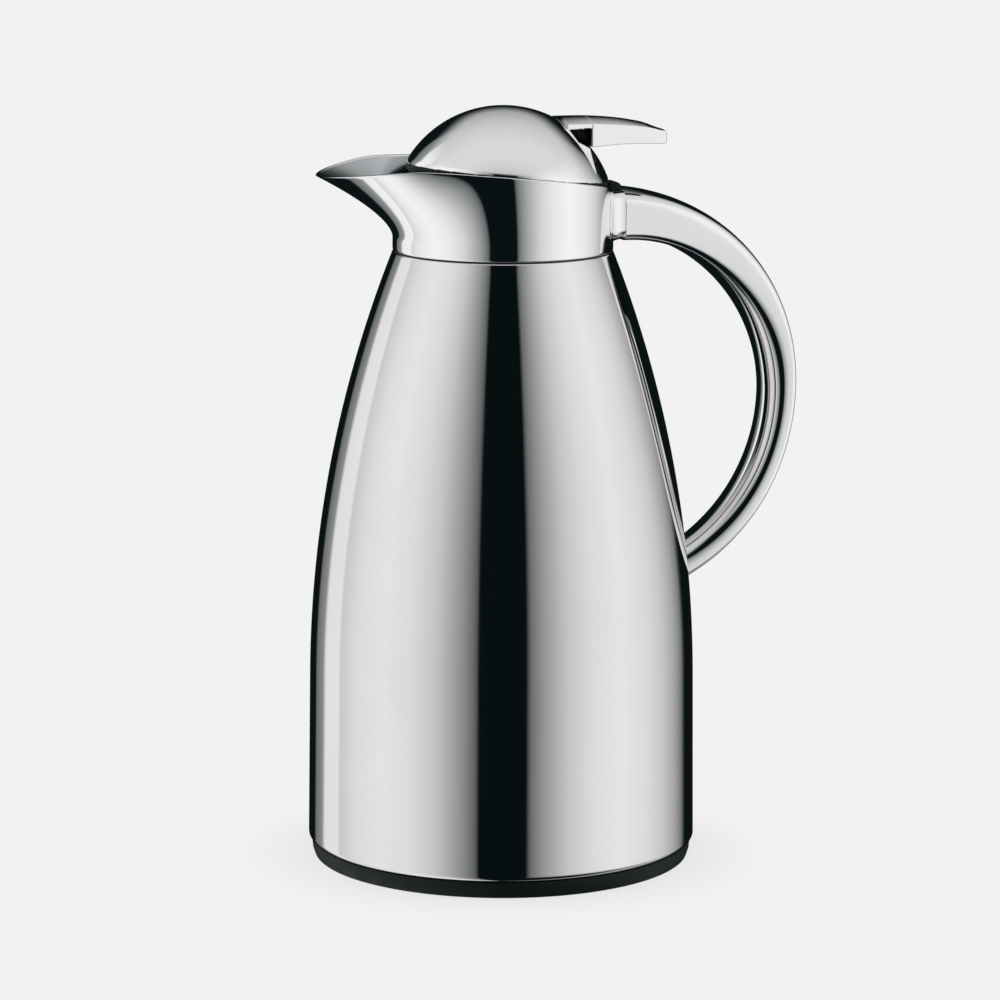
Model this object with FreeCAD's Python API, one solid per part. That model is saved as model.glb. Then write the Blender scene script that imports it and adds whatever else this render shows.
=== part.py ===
"""Thermal carafe: a polished steel body on a black foot, a chromed collar with a pouring spout,
a strap handle and a sprung dome lid that a thumb lever opens. A glass vacuum flask stands inside.

Millimetres. Z is up, the origin is on the body's axis at the underside of the foot,
the spout points along -X and the handle along +X.
"""
import FreeCAD, Part
import math
import os

# Fits and cuts
overrun = 1.0                  # how far a cutting tool runs past the face that it opens
loose_fit = 0.3                # gap between a piece and the opening that it passes through
close_fit = 0.1                # gap between pieces that seat in each other
running_fit = 0.05             # radial gap of a bore that turns on its pin
pressed_fit = 0.02             # radial gap of a bore that holds its pin

# Body shell
base_height = 6.0              # foot below the shell's seam
body_height = 211.0            # shell, from the foot's seam to the neck's seam
body_radius = 69.0             # shell outside, just above the foot
shell_taper = 0.65             # draw-in of the lower wall up to the shoulder
shoulder_height = 60.0         # almost straight part of the wall above the seam
neck_radius = 38.8             # shell outside at the neck's seam
shell_wall = 0.8
foot_curl = 2.2                # radius of the curl at the shell's lower edge
foot_lip = 1.2                 # flat lip inside that curl

# Foot ring and its screw-in cover
foot_inset = 1.1               # step from the shell in to the foot ring
foot_taper = 1.2               # draw-in of the foot ring down to the table
foot_bulge_share = 0.72        # of the taper, gained at the bulge's height
foot_bulge_height_share = 0.45
ring_width = 11.0              # foot ring, from its widest edge in to the cover's bore
spigot_height = 8.0            # part of the foot ring inside the shell
spigot_wall = 2.4
stop_width = 3.0               # shoulder that the cover screws up against
stop_thickness = 2.0
cover_recess = 1.2             # cover above the table
cover_depth = 6.6
cover_web = 2.4
cover_rim = 3.0
grip_width = 9.0               # bar across the cover to turn it by
cushion_pocket_wall = 2.2
cushion_pocket_height = 6.0

# Glass vacuum flask
flask_room = 11.4              # from the shell's widest outside in to the outer glass
outer_glass = 1.6
vacuum_gap = 4.6
inner_glass = 1.4
flask_corner = 30.0            # outer glass, bottom corner
flask_shoulder_rise = 38.3     # start of the flask's shoulder above the shell's
flask_neck_curve = 16.0        # outer glass, hollow curve up into the neck
neck_room = 10.2               # from the shell's neck in to the outer glass of the flask's neck
flask_neck_length = 13.0
lip_drop = 6.0                 # lip's centre below the neck's seam
tip_radius = 3.5               # sealed-off tip under the outer glass
tip_length = 4.5
cushion_thickness = 9.0
cushion_radius = 20.0
cushion_hole = 8.0
cushion_seat = 2.5             # raised edge of the cushion round the flask

# Mouth: seal, pouring insert and the nut that clamps the collar
mouth_seal_top = 1.4
mouth_seal_skirt = 1.5
mouth_seal_depth = 4.0
insert_wall = 1.8
insert_bore_step = 1.0         # insert's bore wider than the flask's
seat_width = 6.5               # cone that the stopper's seal rests in
seat_height = 5.4
insert_edge_rise = 1.3
skirt_depth = 10.0
nut_wall = 4.5
nut_height = 6.5

# Collar with its spout
collar_seal = 0.5
collar_seal_inset = 0.6
collar_wall = 1.6
collar_lip = 1.8               # flange inside the collar's lower edge
spout_start = 4.5              # where the spout leaves the collar, above its lower edge
spout_height = 23.1            # from there up to the tip
spout_reach = 29.0             # tip beyond the collar's wall
spout_curve = 1.53             # power of the underside's sweep
spout_spread = 31.8            # degrees round the axis over which the spout fades
spout_sharpness = 1.64         # power of that fading
side_flare = 1.8               # widening of the rim at the collar's sides
rim_crest = 30.0               # highest point of the rim above the collar's lower edge
rim_crest_reach = 31.0         # that point's distance from the axis, towards the spout
rim_arch = 292.0               # radius of the rim's arch, seen from the side
ring_points = 32               # points round each section of the collar
ring_crowding = 0.45           # how strongly those points gather at the spout
collar_stations = 9

# Handle
root_standoff = 2.2            # joint face beyond the collar's wall
handle_drop = 53.7             # handle's centre below the collar's lower edge
handle_setout = 5.8            # handle's centre inside the collar's wall
handle_inner = 65.7            # radius of the finger side
handle_outer = 75.2            # radius of the outer side, at the foot
handle_crown = 1.9             # extra radius of the outer side over the knuckles
root_thickening = 8.2          # growth towards the collar, on the finger side
root_power = 1.6
root_angle = 80.0              # degrees above level where that growth is counted
crown_start = -20.0            # degrees where the crown begins
crown_span = 115.0
handle_width = 20.5
root_width = 27.0
foot_width = 19.0
foot_angle = -62.0
strap_first = 91.0             # first and last section, degrees above level
strap_last = -74.0
strap_sections = 12
halvings = 30                  # steps of the search for the place where the strap meets the shell
strap_edge = 4.5               # rounding of the strap's outer edges at the collar
grip_edge = 1.8                # the same along the grip
outer_sag_share = 0.09         # rise of the rounded outer side across the strap, of its width
inner_edge = 3.2               # rounding of the finger side's edges at the collar
belly = 2.0                    # extra depth of the rounded finger side along the grip
belly_rim = 1.5                # flat side left between the belly and the outer edge
belly_width_share = 0.85       # of the strap's half width
belly_start = 62.0             # degrees above level where the belly begins
belly_full = 5.0               # and where it is fully grown
belly_points = 7               # points of each belly curve
root_flare = 4.0               # spread of the collar's boss where it leaves the wall
root_flare_shares = (1.0, 0.38, 0.1, 0.0)
root_flare_place_shares = (0.0, 0.4, 0.72, 1.0)
boss_depth = 8.0               # boss, from the joint face back into the wall

# Handle fasteners
root_screw_radius = 2.0
root_screw_length = 15.0
root_screw_head = 3.4
root_screw_head_height = 2.4
root_screw_spacing = 9.0
root_screw_rise = 11.5         # above the collar's lower edge
foot_screw_radius = 1.6
foot_screw_length = 11.0
foot_screw_head = 3.0
foot_screw_head_height = 1.8
pad_radius = 5.0
pad_thickness = 1.2

# Hinge
knuckle_radius = 2.9
hinge_gap = 0.15               # knuckle to the handle's joint face
hinge_rise = 20.7              # above the collar's lower edge
pin_radius = 1.2
knuckle_width = 2.9
spring_room = 6.8              # between the two knuckles
lug_width = 3.1
lug_depth = 8.0                # web of a lug, from the hinge's axis down into the boss
spring_wire = 0.35             # radius
spring_radius = 2.0
spring_turns = 4.25            # from the lower leg round to the upper one
spring_lid_leg = 9.0
spring_collar_leg = 5.0

# Dome lid
dome_overhang = 0.6            # sphere's radius beyond the collar's wall
dome_wall = 1.0
dome_roll = 5.0                # radius of the edge that rolls under
dome_inset = 3.3               # widest edge inside the collar's wall
lid_tilt = 5.5                 # degrees, edge lower at the hinge
plate_drop = 2.4               # plate's underside below the hinge's axis, measured there
plate_thickness = 2.9
plate_step = 1.3               # lower part that shows inside the rolled edge
plate_snap = 1.0               # upper part's overlap over the rolled edge
arm_height = 4.0
arm_reach = 11.0

# Stopper
stopper_gap = 3.4              # from the flask's bore in to the stopper
stopper_length = 16.2          # from the flange down
stopper_taper = 2.6
stopper_nose = 1.6             # rounding of the lower edge
stopper_wall = 1.8
stopper_flange = 7.9
stopper_flange_thickness = 2.0
stopper_neck = 11.0            # above the flange, up to the plate's spigot
stopper_neck_slope = 2.0
seal_depth = 4.2
seal_gap = 0.5                 # seal to its cone, measured level
spigot_fit_depth = 4.5
foam_gap = 0.2

# Thumb lever
lever_width = 12.0
lever_root_width = 24.0
lever_reach = 19.8             # tip beyond the collar's wall
lever_rise_share = 0.627       # underside above the dome's centre, of the dome's radius
lever_root_share = 0.508       # first section's distance from the axis, of the dome's radius
lever_height = 8.6             # upright side at the first section
lever_crown = 1.9              # rise of the top's middle over its sides there
lever_place_shares = (0.0, 0.28, 0.55, 0.8, 1.0)
lever_height_shares = (1.0, 0.98, 0.89, 0.76, 0.56)
lever_crown_shares = (1.0, 1.04, 1.0, 0.68, 0.2)
lever_arch = 0.8               # rise of the underside between dome and tip
lever_arch_shares = (0.0, 0.45, 1.0, 0.8, 0.3)
lever_plate = 1.8              # top over the narrow neck, thickness
cheek_inset = 9.6              # start of the lever's side walls, inside the collar's wall
lever_corner = 1.2             # rounding of the tip's upright edges
lever_setback = 1.0            # post and tang begin this far before the first section
lever_pocket_wall = 1.8
lever_pocket_start = 15.0
tang_thickness = 2.8
tang_width = 13.0
tang_length = 14.0
post_length = 6.0
lever_screw_radius = 1.3
lever_screw_head = 2.3
lever_screw_head_height = 1.6
lever_screw_spacing = 6.4

# Heights and radii that several pieces share
neck_z = base_height + body_height
collar_z = neck_z + collar_seal
shoulder_z = base_height + shoulder_height
shoulder_radius = body_radius - shell_taper
foot_radius = body_radius - foot_inset
cover_bore = foot_radius - ring_width
stop_z = cover_recess + cover_depth
lip_z = neck_z - lip_drop
lip_round = (outer_glass + vacuum_gap + inner_glass) / 2
flask_radius = body_radius - flask_room
flask_neck_radius = neck_radius - neck_room
flask_bore = flask_neck_radius - 2 * lip_round
lip_middle = flask_bore + lip_round
flask_bottom = stop_z + cushion_thickness
insert_under = lip_z + lip_round + mouth_seal_top
insert_bore = flask_bore + insert_bore_step
seat_z = insert_under + insert_wall
seat_top = seat_z + seat_height
seal_skirt_radius = flask_neck_radius + close_fit + mouth_seal_skirt
skirt_bore = seal_skirt_radius + close_fit
skirt_radius = skirt_bore + insert_wall
neck_bore = skirt_radius + loose_fit
collar_inside = neck_radius - collar_wall
insert_radius = collar_inside - loose_fit
root_x = neck_radius + root_standoff
hinge_x = root_x - hinge_gap - knuckle_radius
hinge_z = collar_z + hinge_rise
handle_x = neck_radius - handle_setout
handle_z = collar_z - handle_drop
tilt = math.radians(lid_tilt)
dome_edge = neck_radius - dome_inset
dome_radius = neck_radius + dome_overhang
roll_radius = dome_edge - dome_roll
roll_height = math.sqrt((dome_radius - dome_roll) ** 2 - roll_radius ** 2)
plate_height = roll_height - dome_roll
dome_z = hinge_z - plate_drop + hinge_x * math.tan(tilt) - plate_height / math.cos(tilt)
stopper_radius = flask_bore - stopper_gap
lever_z = dome_z + dome_radius * lever_rise_share
lever_root = dome_radius * lever_root_share
lever_tip = neck_radius + lever_reach
cheek_x = neck_radius - cheek_inset
knuckle_outer = spring_room / 2 + knuckle_width
lug_inner = knuckle_outer + loose_fit
lug_outer = lug_inner + lug_width
flange_z = seat_z + seal_depth + seal_gap


def vec(x, y, z):
    return FreeCAD.Vector(x, y, z)


def on_circle(centre, radius, degrees):
    """A point (r, z) on a circle in the half plane of a turned profile."""
    turn = math.radians(degrees)
    return (centre[0] + radius * math.cos(turn), centre[1] + radius * math.sin(turn))


def bend(centre, radius, start, end):
    """An arc step of a profile: its middle point and its end point."""
    return (on_circle(centre, radius, (start + end) / 2), on_circle(centre, radius, end))


def profile(start, steps):
    """A closed face in the XZ plane. A step is a point, or a pair of points for an arc."""
    edges = []
    here = start
    for step in list(steps) + [start]:
        is_arc = isinstance(step[0], tuple)
        end = step[1] if is_arc else step
        first = vec(here[0], 0, here[1])
        last = vec(end[0], 0, end[1])
        if is_arc:
            middle = vec(step[0][0], 0, step[0][1])
            edges.append(Part.Arc(first, middle, last).toShape())
        elif first.distanceToPoint(last) > Part.Precision.confusion():
            edges.append(Part.makeLine(first, last))
        here = end
    return Part.Face(Part.Wire(edges))


def turned(start, *steps):
    """A profile turned about the Z axis."""
    return profile(start, steps).revolve(vec(0, 0, 0), vec(0, 0, 1), 360)


def rod(radius, start, end):
    """A round bar from one point to another."""
    along = end.sub(start)
    return Part.makeCylinder(radius, along.Length, start, along)


def block(low, high):
    size = [b - a for a, b in zip(low, high)]
    return Part.makeBox(*size, vec(*low))


def one_solid(shape):
    """The shape as one clean solid."""
    return shape.removeSplitter().Solids[0]


def tilted(shape):
    """From the lid's own upright axis to its tilted place on the collar."""
    shape.Placement = FreeCAD.Placement(vec(0, 0, dome_z), FreeCAD.Rotation(vec(0, 1, 0), lid_tilt))
    return shape


def shell_flank():
    """Centre and radius of the shell's flank, an arc that leaves the lower wall without a kink."""
    lean = math.atan2(shell_taper, shoulder_height)
    across = shoulder_radius - neck_radius
    up = neck_z - shoulder_z
    radius = (across ** 2 + up ** 2) / (2 * (across * math.cos(lean) - up * math.sin(lean)))
    centre = (shoulder_radius - radius * math.cos(lean), shoulder_z - radius * math.sin(lean))
    return centre, radius


def shell_radius(z, inset):
    """Radius of the shell's wall at a height, inset from its outside."""
    if z < shoulder_z:
        return body_radius - shell_taper * (z - base_height) / shoulder_height - inset
    centre, radius = shell_flank()
    return centre[0] + math.sqrt((radius - inset) ** 2 - (z - centre[1]) ** 2)


def shell_wall_steps(bottom, top, inset):
    """Profile steps up the shell's wall, inset from its outside."""
    middle = (shoulder_z + top) / 2
    return [
        (shell_radius(bottom, inset), bottom),
        (shell_radius(shoulder_z, inset), shoulder_z),
        ((shell_radius(middle, inset), middle), (shell_radius(top, inset), top)),
    ]


def shell_core(inset):
    """The solid space inside a surface parallel to the shell's outside."""
    steps = shell_wall_steps(base_height, neck_z, inset)
    return turned((0, base_height), *steps, (0, neck_z))


def body_shell():
    curl = (body_radius - foot_curl, base_height + foot_curl)
    inner_curl = foot_curl - shell_wall
    lip = curl[0] - foot_lip
    outside = shell_wall_steps(curl[1], neck_z, 0)
    inside = shell_wall_steps(curl[1], neck_z - shell_wall, shell_wall)
    shoulder_inside = inside[1]
    back_down = (inside[2][0], shoulder_inside)
    shell = turned(
        (lip, base_height),
        (curl[0], base_height),
        bend(curl, foot_curl, -90, 0),
        *outside[1:],
        (neck_bore, neck_z),
        (neck_bore, neck_z - shell_wall),
        inside[2][1],
        back_down,
        inside[0],
        bend(curl, inner_curl, 0, -90),
        (lip, base_height + shell_wall),
    )
    return shell.cut(foot_screw_tool(foot_screw_radius + close_fit))


def foot_ring():
    bottom = foot_radius - foot_taper
    bulge = (bottom + foot_taper * foot_bulge_share, base_height * foot_bulge_height_share)
    spigot = body_radius - foot_curl - foot_lip - close_fit
    stop = cover_bore - stop_width
    return turned(
        (cover_bore, 0),
        (bottom, 0),
        (bulge, (foot_radius, base_height)),
        (spigot, base_height),
        (spigot, base_height + spigot_height),
        (spigot - spigot_wall, base_height + spigot_height),
        (spigot - spigot_wall, stop_z + stop_thickness),
        (stop, stop_z + stop_thickness),
        (stop, stop_z),
        (cover_bore, stop_z),
    )


def base_cover():
    """Screw-in cover with a bar to turn it by and a pocket for the flask's cushion."""
    radius = cover_bore - close_fit
    pocket = cushion_radius + close_fit
    web_z = stop_z - cover_web
    cover = turned(
        (0, web_z),
        (radius - cover_rim, web_z),
        (radius - cover_rim, cover_recess),
        (radius, cover_recess),
        (radius, stop_z),
        (pocket + cushion_pocket_wall, stop_z),
        (pocket + cushion_pocket_wall, stop_z + cushion_pocket_height),
        (pocket, stop_z + cushion_pocket_height),
        (pocket, stop_z),
        (0, stop_z),
    )
    half = grip_width / 2
    bar = block((-radius, -half, cover_recess), (radius, half, stop_z))
    bar = bar.common(Part.makeCylinder(radius, stop_z))
    return one_solid(cover.fuse(bar))


def flask_steps(inset):
    """Profile steps of the flask from its bottom corner up to its lip, inset from its outside."""
    corner = (flask_radius - flask_corner, flask_bottom + flask_corner)
    neck = (flask_neck_radius + flask_neck_curve, lip_z - flask_neck_length)
    across = flask_radius - neck[0]
    up = neck[1] - shoulder_z - flask_shoulder_rise
    bow = (across ** 2 + up ** 2 - flask_neck_curve ** 2) / (2 * (across + flask_neck_curve))
    shoulder = (flask_radius - bow, shoulder_z + flask_shoulder_rise)
    lean = math.degrees(math.atan2(up, neck[0] - shoulder[0]))
    return [
        (corner[0], flask_bottom + inset),
        bend(corner, flask_corner - inset, -90, 0),
        (flask_radius - inset, shoulder[1]),
        bend(shoulder, bow - inset, 0, lean),
        bend(neck, flask_neck_curve + inset, lean + 180, 180),
        (flask_neck_radius - inset, lip_z),
    ]


def flask_space(inset):
    """The solid space inside a surface parallel to the flask's outside, up to its lip."""
    return turned((0, flask_bottom + inset), *flask_steps(inset), (0, lip_z))


def flask_outer():
    tip = Part.makeCylinder(tip_radius, tip_length, vec(0, 0, flask_bottom - tip_length))
    tip = tip.makeFillet(tip_radius / 2, [tip.Edges[2]])
    glass = flask_space(0).fuse(tip)
    return one_solid(glass.cut(flask_space(outer_glass)))


def flask_inner():
    """Inner glass with the round lip that closes the flask's double wall."""
    gap = outer_glass + vacuum_gap
    wall = flask_space(gap).cut(flask_space(gap + inner_glass))
    centre = (lip_middle, lip_z)
    hollow = vacuum_gap / 2
    hollow_centre = (flask_bore + inner_glass + hollow, lip_z)
    lip = turned(
        (flask_bore, lip_z),
        bend(centre, lip_round, 180, 90),
        bend(centre, lip_round, 90, 0),
        (flask_neck_radius - outer_glass, lip_z),
        bend(hollow_centre, hollow, 0, 180),
    )
    return one_solid(wall.fuse(lip))


def flask_cushion():
    top = flask_bottom + cushion_seat
    cushion = turned(
        (cushion_hole, stop_z),
        (cushion_radius, stop_z),
        (cushion_radius, top),
        (cushion_hole, top),
    )
    return one_solid(cushion.cut(flask_space(-close_fit)))


def mouth_seal():
    """Soft ring over the flask's lip, with a skirt that centres the neck in the insert."""
    centre = (lip_middle, lip_z)
    around = lip_round + close_fit
    inside = insert_bore + close_fit
    start_angle = 180 - math.degrees(math.acos((centre[0] - inside) / around))
    start = on_circle(centre, around, start_angle)
    return turned(
        start,
        bend(centre, around, start_angle, 0),
        (centre[0] + around, lip_z - mouth_seal_depth),
        (seal_skirt_radius, lip_z - mouth_seal_depth),
        (seal_skirt_radius, insert_under),
        (inside, insert_under),
    )


def pour_insert():
    """Ring inside the collar: the stopper's seat above, a threaded skirt for the nut below."""
    skirt_z = neck_z - skirt_depth
    flange_under = collar_z + collar_lip
    return turned(
        (skirt_bore, skirt_z),
        (skirt_radius, skirt_z),
        (skirt_radius, flange_under),
        (insert_radius, flange_under),
        (insert_radius, seat_top + insert_edge_rise),
        (insert_bore + seat_width, seat_top),
        (insert_bore, seat_z),
        (insert_bore, insert_under),
        (skirt_bore, insert_under),
    )


def neck_nut():
    top = neck_z - shell_wall
    bore = skirt_radius + close_fit
    return turned(
        (bore, top - nut_height),
        (bore + nut_wall, top - nut_height),
        (bore + nut_wall, top),
        (bore, top),
    )


def collar_gasket():
    outside = neck_radius - collar_seal_inset
    return turned((neck_bore, neck_z), (outside, neck_z), (outside, collar_z), (neck_bore, collar_z))


def collar_radius(angle, rise):
    """Collar's outside at an angle from the spout (radians) and a height above its lower edge."""
    growth = max(rise - spout_start, 0) / spout_height
    fade = math.exp(-(abs(math.degrees(angle)) / spout_spread) ** spout_sharpness)
    spout = spout_reach * growth ** spout_curve * fade
    flare = side_flare * (rise / rim_crest) ** 2 * math.sin(angle) ** 2
    return neck_radius + spout + flare


def collar_section(rise, inset):
    """A closed smooth section of the collar at one height."""
    points = []
    for i in range(ring_points):
        turn = 2 * math.pi * i / ring_points
        turn = turn - 2 * math.pi if turn > math.pi else turn
        angle = turn - ring_crowding * math.sin(turn)
        radius = collar_radius(angle, rise) - inset
        points.append(vec(-radius * math.cos(angle), -radius * math.sin(angle), collar_z + rise))
    steps = [float(i) for i in range(ring_points + 1)]
    curve = Part.BSplineCurve()
    curve.interpolate(Points=points, PeriodicFlag=True, Parameters=steps)
    return Part.Wire([curve.toShape()])


def collar_body(first_rise, inset):
    """The solid space inside the collar's outside, or inside a surface inset from it."""
    last_rise = rim_crest + overrun
    rises = [
        first_rise + (last_rise - first_rise) * i / (collar_stations - 1)
        for i in range(collar_stations)
    ]
    return Part.makeLoft([collar_section(rise, inset) for rise in rises], True, False)


def rounded_section(place, across, width, near, far, edge):
    """A rounded rectangle: width along Y, from near to far along the across direction."""
    half = width / 2
    side = vec(0, 1, 0)

    def spot(y, distance):
        return place.add(side * y).add(across * distance)

    edges = []
    corners = [(half, near, 1, 1), (half, far, 1, -1), (-half, far, -1, -1), (-half, near, -1, 1)]
    slant = edge * (1 - math.sqrt(2) / 2)
    ends = []
    for index, (y, distance, right, up) in enumerate(corners):
        along_side = spot(y, distance + up * edge)
        along_end = spot(y - right * edge, distance)
        middle = spot(y - right * slant, distance + up * slant)
        entry, leave = (along_end, along_side) if index % 2 == 0 else (along_side, along_end)
        ends.append((entry, middle, leave))
    for index, (entry, middle, leave) in enumerate(ends):
        edges.append(Part.Arc(entry, middle, leave).toShape())
        edges.append(Part.makeLine(leave, ends[(index + 1) % len(ends)][0]))
    return Part.Wire(edges)


def belly_share(angle):
    """How far the belly has grown at an angle above level, in degrees: 0 at the collar, 1 on the grip."""
    share = min(max((belly_start - angle) / (belly_start - belly_full), 0), 1)
    return share ** 2 * (3 - 2 * share)


def strap_limits(angle):
    """Inner radius, outer radius and width of the handle at an angle above level, in degrees."""
    inner = handle_inner - root_thickening * (max(angle, 0) / root_angle) ** root_power
    inner = inner - belly * belly_share(angle)
    crown = max(angle - crown_start, 0) / crown_span
    outer = handle_outer + handle_crown * math.sin(math.pi * crown) ** 2
    end_width, end_angle = (root_width, root_angle) if angle > 0 else (foot_width, foot_angle)
    width = handle_width - (handle_width - end_width) * (angle / end_angle) ** 2
    return inner, outer, width


def strap_section(angle):
    """Section of the strap at an angle: round outer edges, and a finger side that swells into a belly."""
    inner, outer, width = strap_limits(angle)
    grown = belly_share(angle)
    half = width / 2
    edge = strap_edge + (grip_edge - strap_edge) * grown
    sag = outer_sag_share * width
    bow = (half ** 2 + sag ** 2) / (2 * sag)
    edge_turn = math.asin((half - edge) / (bow - edge))
    edge_spot = outer - bow + (bow - edge) * math.cos(edge_turn)
    depth = inner_edge + (edge_spot - inner - belly_rim - inner_edge) * grown
    spread = inner_edge + (half * belly_width_share - inner_edge) * grown
    turn = math.radians(angle)

    def spot(y, distance):
        return vec(handle_x + distance * math.cos(turn), y, handle_z + distance * math.sin(turn))

    quarter = [math.pi / 2 * i / (belly_points - 1) for i in range(belly_points)]
    lower = [
        spot(half - spread * (1 - math.sin(t)), inner + depth * (1 - math.cos(t)))
        for t in quarter
    ]
    edge_turns = (math.pi / 2, (math.pi / 2 + edge_turn) / 2, edge_turn)
    upper = [spot(half - edge + edge * math.sin(t), edge_spot + edge * math.cos(t)) for t in edge_turns]
    curve = Part.BSplineCurve()
    curve.interpolate(lower)
    other = Part.BSplineCurve()
    other.interpolate([vec(p.x, -p.y, p.z) for p in reversed(lower)])
    mirrored = [vec(p.x, -p.y, p.z) for p in reversed(upper)]
    edges = [
        curve.toShape(),
        Part.makeLine(lower[-1], upper[0]),
        Part.Arc(*upper).toShape(),
        Part.Arc(upper[-1], spot(0, outer), mirrored[0]).toShape(),
        Part.Arc(*mirrored).toShape(),
        Part.makeLine(mirrored[-1], vec(lower[-1].x, -lower[-1].y, lower[-1].z)),
        other.toShape(),
        Part.makeLine(vec(lower[0].x, -lower[0].y, lower[0].z), lower[0]),
    ]
    return Part.Wire(edges)


def strap():
    """The whole handle strap, before its ends are cut to the collar and the shell."""
    step = (strap_last - strap_first) / (strap_sections - 1)
    sections = [strap_section(strap_first + step * i) for i in range(strap_sections)]
    return Part.makeLoft(sections, True, False)


def root_section():
    """Lower edge, upper edge and width of the strap where the joint face cuts it."""
    from_centre = root_x - handle_x
    inner, outer, width = strap_limits(root_angle)
    low = handle_z + math.sqrt(inner ** 2 - from_centre ** 2)
    high = handle_z + math.sqrt(outer ** 2 - from_centre ** 2)
    return low, high, width


def collar_boss():
    """Boss that spreads from the handle's joint face into the collar's wall."""
    low, high, width = root_section()
    sections = []
    for spread_share, place_share in zip(root_flare_shares, root_flare_place_shares):
        spread = root_flare * spread_share
        place = vec(root_x - boss_depth * (1 - place_share), 0, 0)
        bottom = max(low - spread, collar_z)
        edge = strap_edge + spread / 2
        sections.append(rounded_section(place, vec(0, 0, 1), width + 2 * spread, bottom, high, edge))
    return Part.makeLoft(sections, True, False)


def across_hinge(radius, low, high):
    """A round bar along the hinge's axis."""
    return rod(radius, vec(hinge_x, low, hinge_z), vec(hinge_x, high, hinge_z))


def both_sides(shape):
    return shape.fuse(shape.mirror(vec(0, 0, 0), vec(0, 1, 0)))


def hinge_lugs():
    """Two ears that hold the pin, with webs down into the boss."""
    ear = across_hinge(knuckle_radius, lug_inner, lug_outer)
    low = (hinge_x - knuckle_radius, lug_inner, hinge_z - lug_depth)
    web = block(low, (hinge_x + knuckle_radius, lug_outer, hinge_z))
    return both_sides(ear.fuse(web))


def root_screw_places():
    half = root_screw_spacing / 2
    return [(y, collar_z + root_screw_rise) for y in (-half, half)]


def root_screw_seat():
    """Plane of the screw heads, cut a little into the collar's inner wall."""
    return collar_inside + loose_fit


def collar():
    body = collar_body(0, 0).fuse(collar_boss())
    mouth = collar_body(collar_lip, collar_wall)
    body = body.cut(mouth)
    body = body.cut(Part.makeCylinder(neck_bore, collar_lip + overrun, vec(0, 0, collar_z)))
    side = neck_radius + spout_reach
    middle = vec(-rim_crest_reach, -side, collar_z + rim_crest - rim_arch)
    arch = Part.makeCylinder(rim_arch, 2 * side, middle, vec(0, 1, 0))
    body = body.common(arch)
    clearance = knuckle_radius + loose_fit
    half = lug_outer + loose_fit
    body = body.cut(block((0, -half, hinge_z), (root_x, half, hinge_z + rim_crest)))
    body = body.fuse(hinge_lugs())
    body = body.cut(across_hinge(clearance, -lug_inner, lug_inner))
    low = (hinge_x - clearance, -lug_inner, hinge_z - clearance / 2)
    body = body.cut(block(low, (root_x + overrun, lug_inner, hinge_z + rim_crest)))
    body = body.cut(across_hinge(pin_radius + pressed_fit, -lug_outer - overrun, lug_outer + overrun))
    for y, z in root_screw_places():
        seat = vec(root_screw_seat(), y, z)
        body = body.cut(rod(root_screw_radius + close_fit, seat, vec(root_x + overrun, y, z)))
        body = body.cut(rod(root_screw_head + close_fit, vec(0, y, z), seat))
    spring_slot = block(*spring_slot_corners())
    return one_solid(body.cut(spring_slot))


def handle():
    """Strap cut flat at the collar and saddle-shaped at the shell, with its screw holes."""
    reach = handle_x + handle_outer + handle_crown + overrun
    low = (root_x, -handle_width, base_height)
    piece = strap().common(block(low, (reach, handle_width, collar_z + rim_crest)))
    piece = piece.cut(shell_core(-close_fit))
    for y, z in root_screw_places():
        piece = piece.cut(rod(root_screw_radius + close_fit, vec(0, y, z), root_screw_end(y, z)))
    return one_solid(piece.cut(foot_screw_tool(foot_screw_radius + close_fit)))


def root_screw_end(y, z):
    return vec(root_screw_seat() + root_screw_length, y, z)


def root_screws():
    screws = []
    for y, z in root_screw_places():
        seat = vec(root_screw_seat(), y, z)
        head = vec(root_screw_seat() - root_screw_head_height, y, z)
        shank = rod(root_screw_radius, seat, root_screw_end(y, z).sub(vec(close_fit, 0, 0)))
        screws.append(shank.fuse(rod(root_screw_head, head, seat)).removeSplitter())
    return Part.makeCompound(screws)


def strap_middle(angle):
    """A point of the strap's middle line, at an angle above level in degrees."""
    inner, outer, width = strap_limits(angle)
    x, z = on_circle((handle_x, handle_z), (inner + outer) / 2, angle)
    return vec(x, 0, z)


def foot_axis():
    """Where the strap's middle meets the shell, and the direction out along the strap."""
    inside, outside = strap_last, 0
    for step in range(halvings):
        angle = (inside + outside) / 2
        place = strap_middle(angle)
        if place.x > shell_radius(place.z, 0):
            outside = angle
        else:
            inside = angle
    turn = math.radians(angle)
    return place, vec(-math.sin(turn), 0, math.cos(turn))


def foot_screw_tool(radius):
    """The foot screw's hole through the shell and into the strap."""
    place, out = foot_axis()
    start = place.sub(out * (foot_pad_back() + overrun))
    return rod(radius, start, place.add(out * foot_screw_length))


def foot_pad():
    """Wedge inside the shell that gives the foot screw's head a square seat."""
    place, out = foot_axis()
    back = foot_pad_back()
    pad = rod(pad_radius, place.sub(out * back), place.add(out * pad_radius))
    pad = pad.common(shell_core(shell_wall + close_fit))
    return one_solid(pad.cut(foot_screw_tool(foot_screw_radius + close_fit)))


def foot_pad_back():
    """Distance of the pad's flat back from the shell's outside, along the screw."""
    place, out = foot_axis()
    return pad_radius * abs(out.z) + shell_wall + pad_thickness


def foot_screw():
    place, out = foot_axis()
    seat = place.sub(out * foot_pad_back())
    head = rod(foot_screw_head, seat.sub(out * foot_screw_head_height), seat)
    shank = rod(foot_screw_radius, seat, place.add(out * (foot_screw_length - close_fit)))
    return head.fuse(shank).removeSplitter()


def hinge_pin():
    return across_hinge(pin_radius, -lug_outer, lug_outer)


def spring_half():
    """Half the length of the coil."""
    return spring_room / 2 - loose_fit - spring_wire


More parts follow.
